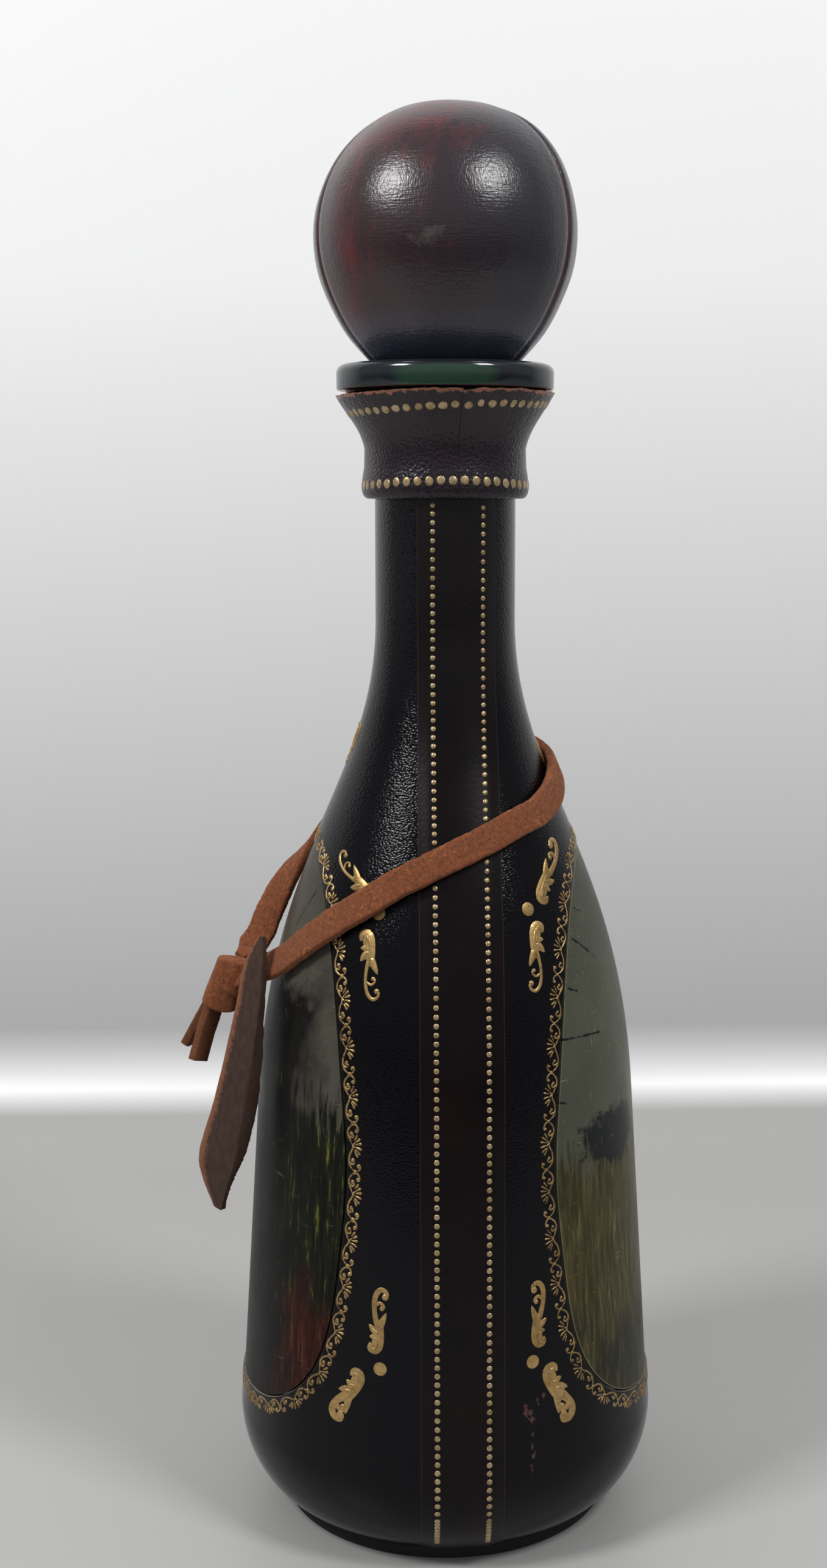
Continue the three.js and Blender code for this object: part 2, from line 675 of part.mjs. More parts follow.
// Lace, knot, tails and tag
add('lace_loop', laceLoop(), FINISH.suede);
add('lace_knot', knotSolid(), FINISH.suede);
add('lace_tail_wide', laceTail(TAIL_WIDE, [0.1, -1, 0.1]), FINISH.suede);
add('lace_tail_narrow', laceTail(TAIL_NARROW, [-0.9, 0, 0.45]), FINISH.suede);
add('hang_tag', hangTag(), FINISH.tagLeather);

export default bottle;
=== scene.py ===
"""Looks of the leather-wrapped glass bottle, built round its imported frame.

Sizes are in millimetres in the classes below and become metres where a mesh is made.
An azimuth is measured from the front (-Y) towards the right (+X), in radians unless a name says degrees.
"""

import logging
import math
from bisect import bisect_right
from dataclasses import dataclass
from enum import Enum
from functools import cached_property, partial
from itertools import accumulate
from typing import Callable, Mapping, Sequence

import bpy
from mathutils import Matrix, Vector, noise


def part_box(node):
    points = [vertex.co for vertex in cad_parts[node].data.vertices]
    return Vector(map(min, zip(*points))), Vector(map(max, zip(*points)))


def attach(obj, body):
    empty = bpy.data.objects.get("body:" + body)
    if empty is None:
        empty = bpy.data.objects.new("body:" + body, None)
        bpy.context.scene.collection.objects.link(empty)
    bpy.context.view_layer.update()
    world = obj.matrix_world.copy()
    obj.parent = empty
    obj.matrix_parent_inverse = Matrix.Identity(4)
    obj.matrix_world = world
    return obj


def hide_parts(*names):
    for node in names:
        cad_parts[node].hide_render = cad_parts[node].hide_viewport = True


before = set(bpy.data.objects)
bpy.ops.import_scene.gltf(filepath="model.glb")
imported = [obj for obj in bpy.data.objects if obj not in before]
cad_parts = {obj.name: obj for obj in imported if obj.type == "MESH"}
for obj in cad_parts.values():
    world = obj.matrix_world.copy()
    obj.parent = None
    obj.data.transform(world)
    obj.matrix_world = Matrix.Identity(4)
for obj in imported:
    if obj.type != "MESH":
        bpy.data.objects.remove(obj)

MM = 0.001
LOG = logging.getLogger("bottle")

# Corners closer than this, in metres, are one corner.
MERGE = 2e-6
# Edges shorter than this, in metres, are taken out.
DEGENERATE = 1e-7
# What counts as nothing.
TINY = 1e-9
# Heights between which the leather gets shinier from the hands that lift the bottle.
HANDLED = (172 * MM, 200 * MM)

Piece = bpy.types.Object
Pair = tuple[float, float]
Triple = tuple[float, float, float]
Quad = tuple[float, float, float, float]
Place = Callable[[float, float], Vector]
Laying = Callable[[Vector], Vector]
Adder = Callable[..., bpy.types.Node]
Inputs = Mapping[str, object]


class Body(str, Enum):
    """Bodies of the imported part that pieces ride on."""

    BOTTLE = "bottle"
    STOPPER = "stopper"
    TAG = "tag"


class Side(Enum):
    """The two sides of the bottle, with the sign of their azimuths."""

    LEFT = -1
    RIGHT = 1


class Stamp(Enum):
    """The leaf stamps: how heavy the lines of their curl are, and how far it reaches."""

    FINE = (1.0, 1.0)
    HEAVY = (1.6, 1.0)
    BLUNT = (2.1, 0.66)


class Kind(Enum):
    """Shader nodes of the finishes: each one's type, then its inputs in the order they are given."""

    COORDS = ("ShaderNodeTexCoord",)
    MAPPING = ("ShaderNodeMapping", "Vector", "Scale", "Rotation")
    SPLIT = ("ShaderNodeSeparateXYZ", "Vector")
    NOISE = ("ShaderNodeTexNoise", "Vector", "Scale", "Detail", "Roughness")
    CELLS = ("ShaderNodeTexVoronoi", "Vector", "Scale", "Smoothness")
    RANGE = ("ShaderNodeMapRange", "Value", "From Min", "From Max", "To Min", "To Max")
    MATH = ("ShaderNodeMath", 0, 1, 2)
    VECTOR = ("ShaderNodeVectorMath", 0, 1, "Scale")
    MIX = ("ShaderNodeMix", 0, 6, 7)
    BUMP = ("ShaderNodeBump", "Height", "Strength", "Distance")
    SHADER = ("ShaderNodeBsdfPrincipled",)
    SURFACE = ("ShaderNodeOutputMaterial", "Surface")
    FACING = ("ShaderNodeLayerWeight", "Blend")
    GEOMETRY = ("ShaderNodeNewGeometry",)
    SKY = ("ShaderNodeBackground", "Color", "Strength")
    SKY_OUT = ("ShaderNodeOutputWorld", "Surface")


def linear(code: str) -> Quad:
    """Linear colour of an sRGB hex code."""
    parts = [int(code[i:i + 2], 16) / 255 for i in (1, 3, 5)]
    red, green, blue = (c / 12.92 if c <= 0.04045 else ((c + 0.055) / 1.055) ** 2.4 for c in parts)
    return red, green, blue, 1.0


def per_metre(size: float) -> float:
    """Scale of a pattern whose real spacing is a size in millimetres."""
    return 1.0 / (size * MM)


def put(
    tree: bpy.types.NodeTree, kind: Kind, *values: object, inputs: Inputs | None = None, **settings: object
) -> bpy.types.Node:
    """Adds a node with its settings, values and links.

    Args:
        tree: The node tree that takes the node.
        kind: Which node it is. A mix is always one of colours.
        values: What goes into the kind's inputs in turn: a number, a hex colour, a socket, a node (its first
            live output), or None to leave one as it is.
        inputs: The same by the inputs' names.
        settings: The node's own settings.

    Returns:
        The new node.
    """
    node_type, *order = kind.value
    made = tree.nodes.new(node_type)
    if kind is Kind.MIX:
        made.data_type = "RGBA"
    for name, value in settings.items():
        setattr(made, name, value)
    for key, value in [*zip(order, values), *(inputs or {}).items()]:
        if isinstance(value, bpy.types.Node):
            value = next(output for output in value.outputs if output.enabled)
        if isinstance(value, bpy.types.NodeSocket):
            tree.links.new(value, made.inputs[key])
        elif value is not None:
            made.inputs[key].default_value = linear(value) if isinstance(value, str) else value
    return made


def pick(*pieces: Piece) -> None:
    """Selects pieces and nothing else, the first of them as the active one.

    Args:
        pieces: The pieces.
    """
    bpy.ops.object.select_all(action="DESELECT")
    for piece in pieces:
        piece.select_set(True)
    bpy.context.view_layer.objects.active = pieces[0]


def newest(name: str) -> Piece:
    """Names the piece that was just added.

    Args:
        name: The piece's name.

    Returns:
        The piece.
    """
    piece = bpy.context.object
    piece.name = name
    piece.data.name = name
    return piece


def edit(piece: Piece, *steps: tuple[Callable, dict]) -> None:
    """Runs edit-mode operators on the whole of a piece.

    Args:
        piece: The piece to edit.
        steps: Operators with their settings.
    """
    pick(piece)
    bpy.ops.object.mode_set(mode="EDIT")
    bpy.ops.mesh.select_all(action="SELECT")
    for operator, settings in steps:
        operator(**settings)
    bpy.ops.object.mode_set(mode="OBJECT")


def apply(piece: Piece, kind: str, **settings: object) -> None:
    """Adds a modifier with its settings and applies it.

    Args:
        piece: The piece to change.
        kind: The modifier's type.
        settings: The modifier's settings.
    """
    modifier = piece.modifiers.new(kind.lower(), kind)
    for name, value in settings.items():
        setattr(modifier, name, value)
    bpy.context.view_layer.objects.active = piece
    bpy.ops.object.modifier_apply(modifier=modifier.name)


def smooth(piece: Piece, degrees: float) -> None:
    """Shades a piece smooth, apart from edges sharper than an angle."""
    pick(piece)
    bpy.ops.object.shade_smooth_by_angle(angle=math.radians(degrees))


def join(name: str, pieces: Sequence[Piece]) -> Piece:
    """Joins pieces to one.

    Args:
        name: The joined piece's name.
        pieces: The pieces, of which the first takes the others.

    Returns:
        The joined piece.
    """
    pick(*pieces)
    bpy.ops.object.join()
    return newest(name)


def laid_grid(name: str, columns: int, rows: int, place: Place, ring: bool = False) -> Piece:
    """Adds a flat grid and lays each of its corners on a place, as a skin is laid on a form.

    Args:
        name: The piece's name.
        columns: Faces across.
        rows: Faces up.
        place: Gives the place in millimetres for shares across and up, from 0 to 1.
        ring: Whether two edges or more meet and are sewn together.

    Returns:
        The piece.
    """
    bpy.ops.object.select_all(action="DESELECT")
    bpy.ops.mesh.primitive_grid_add(x_subdivisions=columns, y_subdivisions=rows, size=1.0, calc_uvs=True)
    piece = newest(name)
    for vertex in piece.data.vertices:
        vertex.co = place(vertex.co.x + 0.5, vertex.co.y + 0.5) * MM
    if ring:
        edit(piece, (bpy.ops.mesh.remove_doubles, {"threshold": MERGE}))
    return piece


def face_out(piece: Piece) -> None:
    """Turns a skin's faces away from the bottle's axis.

    Args:
        piece: The skin.
    """
    outward = sum(face.area * face.normal.dot(Vector((face.center.x, face.center.y, 0.0)).normalized())
                  for face in piece.data.polygons)
    if outward < 0:
        edit(piece, (bpy.ops.mesh.flip_normals, {}))


def close_ends(piece: Piece) -> None:
    """Closes a tube's open ends and turns all of its faces outwards.

    Args:
        piece: The tube.
    """
    edit(
        piece,
        (bpy.ops.mesh.fill_holes, {"sides": 0}),
        (bpy.ops.mesh.normals_make_consistent, {"inside": False}),
    )


def spun(name: str, outline: Sequence[Pair], steps: int = 96) -> Piece:
    """Turns a closed outline of (radius, height) about the bottle's axis.

    Args:
        name: The piece's name.
        outline: The closed outline, which may touch the axis.
        steps: Faces round the axis.

    Returns:
        The piece.
    """
    bpy.ops.object.select_all(action="DESELECT")
    bpy.ops.mesh.primitive_circle_add(vertices=len(outline), radius=1.0, fill_type="NOTHING")
    piece = newest(name)
    for vertex, (radius, height) in zip(piece.data.vertices, outline):
        vertex.co = Vector((radius, 0.0, height)) * MM
    edit(
        piece,
        (bpy.ops.mesh.spin, {"steps": steps, "angle": math.tau, "center": (0, 0, 0), "axis": (0, 0, 1)}),
        (bpy.ops.mesh.select_all, {"action": "SELECT"}),
        (bpy.ops.mesh.remove_doubles, {"threshold": MERGE}),
        (bpy.ops.mesh.dissolve_degenerate, {"threshold": DEGENERATE}),
        (bpy.ops.mesh.select_all, {"action": "SELECT"}),
        (bpy.ops.mesh.normals_make_consistent, {"inside": False}),
    )
    return piece


def curve_through(points: Sequence[Sequence[float]], share: float) -> Vector:
    """A point on a smooth curve through points.

    Args:
        points: The points, two or more.
        share: Where on the curve, from 0 to 1, with the points evenly shared out.

    Returns:
        The point, with as many numbers as the points have.
    """
    spots = [Vector(point) for point in points]
    step = min(max(share, 0.0), 1.0) * (len(spots) - 1)
    i = min(int(step), len(spots) - 2)
    t = step - i
    start, end = spots[i], spots[i + 1]
    before = spots[i - 1] if i > 0 else start * 2 - end
    after = spots[i + 2] if i + 2 < len(spots) else end * 2 - start
    pairs = ((before, start), (start, end), (end, after))
    steps = [max((b - a).length_squared ** 0.25, TINY) for a, b in pairs]
    out = ((start - before) / steps[0] - (end - before) / (steps[0] + steps[1])) * steps[1] + (end - start)
    back = (end - start) + ((after - end) / steps[2] - (after - start) / (steps[1] + steps[2])) * steps[1]
    return (start * (2 * t ** 3 - 3 * t ** 2 + 1) + out * (t ** 3 - 2 * t ** 2 + t)
            + end * (3 * t ** 2 - 2 * t ** 3) + back * (t ** 3 - t ** 2))


def swept(knots: Sequence[Sequence[float]], t: float) -> Vector:
    """A point on the curve from the first of four knots to the last, which leans to the two between.

    Args:
        knots: The four knots.
        t: Where on the curve, from 0 to 1.

    Returns:
        The point.
    """
    s = 1 - t
    spot = Vector((0.0, 0.0))
    for knot, weight in zip(knots, (s ** 3, 3 * s * s * t, 3 * s * t * t, t ** 3)):
        spot += Vector(knot) * weight
    return spot


def polar(radius: float, azimuth: float, z: float) -> Vector:
    """The place at a radius from the bottle's axis, an azimuth and a height."""
    return Vector((radius * math.sin(azimuth), -radius * math.cos(azimuth), z))


def run_lengths(spots: Sequence[Sequence[float]]) -> list[float]:
    """Length along a line of spots at each of them."""
    return list(accumulate((math.dist(a, b) for a, b in zip(spots, spots[1:])), initial=0.0))


def between(xs: Sequence[float], ys: Sequence[float], x: float) -> float:
    """Reads a value off the line through points, which goes on straight beyond its ends."""
    i = min(max(bisect_right(xs, x) - 1, 0), len(xs) - 2)
    return ys[i] + (ys[i + 1] - ys[i]) * (x - xs[i]) / (xs[i + 1] - xs[i])


def hump(value: float, height: float, middle: float, width: float) -> float:
    """A soft hump of a height and a width round a middle value."""
    return height * math.exp(-((value - middle) / width) ** 2)


def ease(value: float, low: float = 0.0, high: float = 1.0) -> float:
    """A smooth step from 0 at a low value to 1 at a high one."""
    t = min(max((value - low) / (high - low), 0.0), 1.0)
    return t * t * (3 - 2 * t)


def ripple(seed: float, *where: float) -> float:
    """Even noise from -1 to 1 at a place, the same in each run."""
    x, y, z = (list(where) + [0.0, 0.0])[:3]
    return noise.noise(Vector((x + 17.3 * seed, y - 5.1 * seed, z + 3.7 * seed)))


@dataclass(frozen=True)
class Finish:
    """A finish: one material that a piece is dressed in."""

    name: str

    def material(self) -> bpy.types.Material:
        """The finish's material, made when it is first asked for.

        Returns:
            The material.
        """
        if self.name in bpy.data.materials:
            return bpy.data.materials[self.name]
        made = bpy.data.materials.new(self.name)
        made.use_nodes = True
        tree = made.node_tree
        tree.nodes.clear()
        put(tree, Kind.SURFACE, put(tree, Kind.SHADER, inputs=self.paint(partial(put, tree))))
        return made

    def paint(self, add: Adder) -> Inputs:
        """Adds the finish's nodes.

        Args:
            add: Adds a node.

        Returns:
            The shader's inputs.
        """
        raise NotImplementedError

    @staticmethod
    def coats(add: Adder, ground: object, *coats: tuple[object, object]) -> object:
        """Lays coats of colour over a ground.

        Args:
            add: Adds a node.
            ground: The colour below.
            coats: Where each coat lies, and its colour.

        Returns:
            The colour that shows.
        """
        for mask, colour in coats:
            ground = add(Kind.MIX, mask, ground, colour)
        return ground

    @staticmethod
    def off_half(add: Adder, value: object) -> bpy.types.Node:
        """How far a value lies from a half, up or down."""
        return add(Kind.MATH, add(Kind.MATH, value, 0.5, operation="SUBTRACT"), operation="ABSOLUTE")

    def dress(self, piece: Piece) -> None:
        """Gives a piece this finish all over."""
        piece.data.materials.clear()
        piece.data.materials.append(self.material())


@dataclass(frozen=True)
class PebbledLeather(Finish):
    """Black goatskin, boarded to a pebble and glazed: dark, with a broken gleam along each pebble."""

    name: str = "pebbled_goatskin"
    dark: str = "#040409"
    warm: str = "#07060a"
    flake: str = "#563a37"
    flake_drawn: float = 0.42
    pebble: float = 0.36
    flakes: tuple[Quad, ...] = (
        (14.9, -41.5, 35.2, 1.56), (15.9, -41.2, 34.9, 1.72), (17.4, -40.6, 37.0, 1.07),
        (18.6, -40.0, 37.9, 0.82), (16.4, -41.0, 33.4, 1.31), (16.3, -41.4, 30.4, 0.66),
        (16.3, -41.5, 27.7, 0.74), (16.4, -41.5, 25.9, 1.15), (16.2, -41.7, 23.1, 1.07),
    )

    def paint(self, add: Adder) -> Inputs:
        """Pebbles worn flat lower down and fine pores over near-black, with a few flaked spots.

        Args:
            add: Adds a node.

        Returns:
            The shader's inputs.
        """
        place = add(Kind.COORDS).outputs["Object"]
        wide = add(Kind.MAPPING, place, (0.6, 0.6, 1.0))
        pebbles = add(Kind.CELLS, wide, per_metre(self.pebble), 0.5, feature="SMOOTH_F1")
        pores = add(Kind.NOISE, place, per_metre(0.3), 2.0)
        rough = add(Kind.MATH, pores, 0.3, pebbles, operation="MULTIPLY_ADD")
        height = add(Kind.SPLIT, place).outputs["Z"]
        worn = add(Kind.RANGE, height, 60 * MM, 140 * MM, 0.06, 0.3)
        drift = add(Kind.NOISE, place, per_metre(32.0), 3.0)
        colour = add(Kind.MIX, drift, self.dark, self.warm)
        ragged = add(Kind.NOISE, place, per_metre(0.9), 6.0, 0.75)
        drawn = add(Kind.MAPPING, place, (1.0, 1.0, self.flake_drawn))
        for x, y, z, reach in self.flakes:
            away = add(Kind.VECTOR, drawn, (x * MM, y * MM, z * self.flake_drawn * MM), operation="DISTANCE")
            near = add(Kind.RANGE, away.outputs["Value"], 0.0, reach * MM, 0.2, -0.18)
            bare = add(Kind.RANGE, add(Kind.MATH, near, ragged), 0.58, 0.66)
            colour = add(Kind.MIX, bare, colour, self.flake)
        return {
            "Base Color": colour,
            "Normal": add(Kind.BUMP, rough, worn, 0.3 * MM, invert=True),
            "Roughness": add(Kind.RANGE, drift, 0.3, 0.7, 0.13, 0.18),
            "Specular IOR Level": add(Kind.RANGE, height, *HANDLED, 0.17, 0.4),
        }


@dataclass(frozen=True)
class SmoothLeather(Finish):
    """Calf leather, dyed oxblood and burnished: nearly black with a red depth and a low even sheen."""

    name: str = "oxblood_calf"
    deep: str = "#060304"
    red: str = "#120506"
    edge: str = "#3c2a2c"
    edge_from: float = 0.0
    grain: float = 0.7
    relief: float = 0.06
    shine: float = 0.18
    neck_shine: float = 0.4

    def paint(self, add: Adder) -> Inputs:
        """Cloudy dye and a fine grain; the raw edge shows from a share up the skin, or in lines at its sides.

        Args:
            add: Adds a node.

        Returns:
            The shader's inputs.
        """
        coords = add(Kind.COORDS).outputs
        place = coords["Object"]
        cloud = add(Kind.NOISE, place, per_metre(22.0), 4.0, 0.6)
        grain = add(Kind.CELLS, place, per_metre(self.grain), 0.4, feature="SMOOTH_F1")
        flat = add(Kind.SPLIT, coords["UV"]).outputs
        if self.edge_from:
            ragged = add(Kind.NOISE, place, per_metre(1.4), 3.0)
            wander = add(Kind.MATH, ragged, 0.03, flat["Y"], operation="MULTIPLY_ADD")
            limit = self.edge_from + 0.015
            raw = add(Kind.RANGE, wander, limit, limit + 0.004)
        else:
            raw = add(Kind.RANGE, self.off_half(add, flat["X"]), 0.474, 0.482, 0.0, 0.6)
        height = add(Kind.SPLIT, place).outputs["Z"]
        dyed = add(Kind.RANGE, cloud, 0.35, 0.7)
        return {
            "Base Color": self.coats(add, self.deep, (dyed, self.red), (raw, self.edge)),
            "Normal": add(Kind.BUMP, grain, self.relief, 0.25 * MM, invert=True),
            "Roughness": add(Kind.RANGE, cloud, 0.3, 0.7, 0.24, 0.34),
            "Specular IOR Level": add(Kind.RANGE, height, *HANDLED, self.shine, self.neck_shine),
        }


@dataclass(frozen=True)
class WornBallLeather(Finish):
    """Thin leather over a ball, handled for years: black rubbed to red, with a woven-looking grain."""

    name: str = "rubbed_ball_leather"
    dark: str = "#352427"
    black: str = "#25232a"
    red: str = "#5b2325"
    edge: str = "#6a3a2c"
    painted_underside_light: str = "#3c3f50"
    scuff: str = "#625a54"

    def paint(self, add: Adder) -> Inputs:
        """Red rubs up and to the left, a blue-grey painted light on the underside, a scuff, crossed fine
        lines and raw seams.

        Args:
            add: Adds a node.

        Returns:
            The shader's inputs.
        """
        coords = add(Kind.COORDS).outputs
        place = coords["Object"]
        axes = add(Kind.SPLIT, place).outputs
        drawn = add(Kind.MAPPING, place, (1.0, 1.0, 0.35))
        streaks = add(Kind.NOISE, drawn, per_metre(4.5), 6.0, 0.7)
        strip = add(Kind.MATH, axes["X"], -18.5 * MM, operation="SUBTRACT")
        left = add(Kind.RANGE, add(Kind.MATH, strip, operation="ABSOLUTE"), 0.0, 5.5 * MM, 0.2, 0.0)
        top = add(Kind.RANGE, axes["Z"], 276 * MM, 294 * MM, 0.0, 0.24)
        right = add(Kind.RANGE, axes["X"], 0.0, 16 * MM, 0.0, 0.24)
        up_left = add(Kind.MATH, add(Kind.MATH, left, top, operation="MAXIMUM"), right, operation="SUBTRACT")
        rubbed = add(Kind.RANGE, add(Kind.MATH, streaks, up_left), 0.57, 0.9)
        side = add(Kind.RANGE, axes["X"], -14 * MM, 14 * MM)
        sewn = self.off_half(add, add(Kind.SPLIT, coords["UV"]).outputs["X"])
        edge = add(Kind.RANGE, sewn, 0.455, 0.475, 0.0, 0.6)
        # Painted light: the ball's underside, above the lip, is painted a lighter blue-grey, standing in for
        # light reflected up into it.
        under = add(Kind.RANGE, axes["Z"], 254 * MM, 246 * MM)
        ragged = add(Kind.NOISE, place, per_metre(2.4), 7.0, 0.7)
        flat = add(Kind.MAPPING, place, (0.65, 1.0, 1.0))
        away = add(Kind.VECTOR, flat, (-2.9 * MM, -26.6 * MM, 266.6 * MM), operation="DISTANCE")
        near = add(Kind.RANGE, away.outputs["Value"], 1.0 * MM, 4.4 * MM, 0.14, -0.3)
        worn = add(Kind.RANGE, add(Kind.MATH, near, ragged), 0.5, 0.72, 0.0, 0.45)
        specks = add(Kind.RANGE, ragged, 0.7, 0.78, 0.0, 0.3)
        lines = [add(Kind.NOISE, add(Kind.MAPPING, place, stretch), per_metre(0.36), 2.0)
                 for stretch in ((0.1, 0.1, 1.0), (1.0, 1.0, 0.1))]
        pores = add(Kind.NOISE, place, per_metre(0.7), 3.0)
        height = add(Kind.MATH, pores, 1.2, add(Kind.MATH, *lines), operation="MULTIPLY_ADD")
        colour = self.coats(add, self.dark, (side, self.black), (rubbed, self.red), (edge, self.edge),
                            (under, self.painted_underside_light), (worn, self.scuff), (specks, self.scuff))
        return {
            "Base Color": colour,
            "Normal": add(Kind.BUMP, height, 0.46, 0.12 * MM),
            "Roughness": add(Kind.RANGE, streaks, 0.3, 0.75, 0.23, 0.33),
            "Specular IOR Level": 0.56,
        }


@dataclass(frozen=True)
class PaintedLeather(Finish):
    """Leather painted in oils and varnished: soft sky over brushed growth, with fine scratches and gloss."""

    name: str = "painted_leather"
    sky_high: str = "#4a4d42"
    sky_low: str = "#565749"
    ground: str = "#51492f"
    ground_dark: str = "#37331f"
    blade: str = "#6f6a3c"
    earth: str = "#24261f"
    stroke: str = "#45412d"
    shrub: str = "#14181c"
    dusk: str = "#0a0908"
    dusk_from: float = 60.0
    dusk_top: float = 120.0
    rim_worn: float = 0.4
    scored: float = 0.55
    cracks: tuple[Quad, ...] = ()
    worn: str = "#8b8366"
    horizon: float = 84.0
    earth_top: float = 46.0
    shrub_at: Pair = (-21.0, 86.5)

    def split(self, add: Adder, place: bpy.types.NodeSocket) -> object:
        """The cracks, as wandering lines between two places seen from the side.

        Args:
            add: Adds a node.
            place: The place on the panel.

        Returns:
            1 in a crack and 0 elsewhere.
        """
        found: object = 0.0
        seen = add(Kind.MAPPING, place, (0.0, 1.0, 1.0))
        shake = add(Kind.NOISE, place, per_metre(1.6), 3.0)
        for y0, z0, y1, z1 in self.cracks:
            start, run = Vector((0.0, y0, z0)) * MM, Vector((0.0, y1 - y0, z1 - z0)) * MM
            off = add(Kind.VECTOR, seen, start, operation="SUBTRACT")
            along = add(Kind.VECTOR, off, run / run.length_squared, operation="DOT_PRODUCT")
            foot = add(Kind.VECTOR, run, None, add(Kind.RANGE, along.outputs["Value"]), operation="SCALE")
            away = add(Kind.VECTOR, off, foot, operation="DISTANCE")
            bent = add(Kind.MATH, shake, -0.9 * MM, away.outputs["Value"], operation="MULTIPLY_ADD")
            found = add(Kind.MATH, found, add(Kind.RANGE, bent, -0.16 * MM, -0.36 * MM), operation="MAXIMUM")
        return found

    def paint(self, add: Adder) -> Inputs:
        """Bands of sky, meadow and earth with brush strokes, one low shrub, creases, cracks and a worn rim.

        Args:
            add: Adds a node.

        Returns:
            The shader's inputs.
        """
        coords = add(Kind.COORDS).outputs
        place = coords["Object"]
        axes = add(Kind.SPLIT, place).outputs
        cloud = add(Kind.NOISE, place, per_metre(24.0), 5.0, 0.6)
        sky = add(Kind.MIX, add(Kind.RANGE, cloud, 0.35, 0.65), self.sky_low, self.sky_high)
        tall = add(Kind.MAPPING, place, (1.0, 1.0, 0.09))
        blades = add(Kind.NOISE, tall, per_metre(1.1), 4.0, 0.7)
        wander = add(Kind.MATH, blades, 34 * MM, axes["Z"], operation="MULTIPLY_ADD")
        low = add(Kind.RANGE, wander, (self.horizon + 20) * MM, (self.horizon + 13) * MM)
        meadow = self.coats(add, self.ground_dark, (add(Kind.RANGE, blades, 0.4, 0.6), self.ground),
                            (add(Kind.RANGE, blades, 0.58, 0.68, 0.0, 0.9), self.blade))
        lump = add(Kind.NOISE, place, per_metre(9.0), 4.0)
        edge = add(Kind.MATH, lump, 30 * MM, axes["Z"], operation="MULTIPLY_ADD")
        soil = add(Kind.RANGE, edge, (self.earth_top + 20) * MM, (self.earth_top + 9) * MM, 0.0, 0.85)
        earth = add(Kind.MIX, add(Kind.RANGE, blades, 0.48, 0.68), self.earth, self.stroke)
        flat = add(Kind.MAPPING, place, (0.0, 0.8, 1.3))
        shrub = (0.0, 0.8 * self.shrub_at[0] * MM, 1.3 * self.shrub_at[1] * MM)
        away = add(Kind.VECTOR, flat, shrub, operation="DISTANCE")
        leafy = add(Kind.NOISE, place, per_metre(3.4), 5.0, 0.7)
        spread = add(Kind.MATH, leafy, -13 * MM, away.outputs["Value"], operation="MULTIPLY_ADD")
        bush = add(Kind.RANGE, spread, 1.6 * MM, 0.2 * MM, 0.0, 0.9)
        back = add(Kind.MATH, lump, 14 * MM, axes["Y"], operation="MULTIPLY_ADD")
        behind = add(Kind.RANGE, back, self.dusk_from * MM, (self.dusk_from + 6) * MM, 0.0, 0.97)
        below = add(Kind.RANGE, edge, (self.dusk_top + 17) * MM, (self.dusk_top + 12) * MM)
        dark = add(Kind.MATH, behind, below, operation="MULTIPLY")
        colour = self.coats(add, sky, (low, meadow), (soil, earth), (bush, self.shrub), (dark, self.dusk))
        scratches = (
            ((0.12, 0.12, 1.0), 0.7, 0.7), ((1.0, 1.0, 0.07), 0.5, 0.68), ((1.0, 1.0, 0.8), 0.6, 0.72),
        )
        for stretch, size, least in scratches:
            marks = add(Kind.NOISE, add(Kind.MAPPING, place, stretch, (0.2, 0.0, 0.2)), per_metre(size), 2.0)
            shown = add(Kind.RANGE, marks, least, least + 0.06, 0.0, self.scored)
            colour = add(Kind.MIX, shown, colour, self.worn)
        rim = add(Kind.SPLIT, coords["UV"]).outputs["Y"]
        bare = add(Kind.RANGE, rim, 0.992, 0.996, 0.0, self.rim_worn)
        folds = add(Kind.NOISE, add(Kind.MAPPING, place, (0.5, 0.5, 1.6)), per_metre(12.0), 2.0)
        crease = add(Kind.RANGE, self.off_half(add, folds), 0.0, 0.012, -1.0, 0.0)
        folded = add(Kind.MATH, crease, add(Kind.RANGE, axes["Z"], 92 * MM, 116 * MM), operation="MULTIPLY")
        relief = add(Kind.MATH, blades, 0.25, folded, operation="MULTIPLY_ADD")
        return {
            "Base Color": self.coats(add, colour, (bare, self.worn), (self.split(add, place), self.shrub)),
            "Normal": add(Kind.BUMP, relief, 0.3, 0.25 * MM),
            "Roughness": add(Kind.RANGE, cloud, 0.3, 0.7, 0.3, 0.42),
            "Specular IOR Level": 0.1,
        }


@dataclass(frozen=True)
class GoldFoil(Finish):
    """Gold foil pressed hot into leather: warm metal, rubbed dull and coppery on what stands proud."""

    name: str = "stamped_gold_foil"
    bright: str = "#bf9e68"
    dull: str = "#997c4c"
    copper: str = "#4f3920"
    rubbed: float = 0.3

    def paint(self, add: Adder) -> Inputs:
        """Patches of bright and dull foil with small crinkles.

        Args:
            add: Adds a node.

        Returns:
            The shader's inputs.
        """
        place = add(Kind.COORDS).outputs["Object"]
        patches = add(Kind.NOISE, place, per_metre(5.0), 4.0, 0.65)
        rubs = add(Kind.NOISE, place, per_metre(0.55), 3.0)
        crinkle = add(Kind.NOISE, place, per_metre(0.5), 2.0)
        return {
            "Base Color": self.coats(add, self.dull, (add(Kind.RANGE, patches, 0.36, 0.6), self.bright),
                                     (add(Kind.RANGE, rubs, 0.53, 0.62, 0.0, self.rubbed), self.copper)),
            "Normal": add(Kind.BUMP, crinkle, 0.35, 0.1 * MM),
            "Roughness": add(Kind.RANGE, patches, 0.35, 0.65, 0.48, 0.34),
            "Metallic": 0.75,
        }


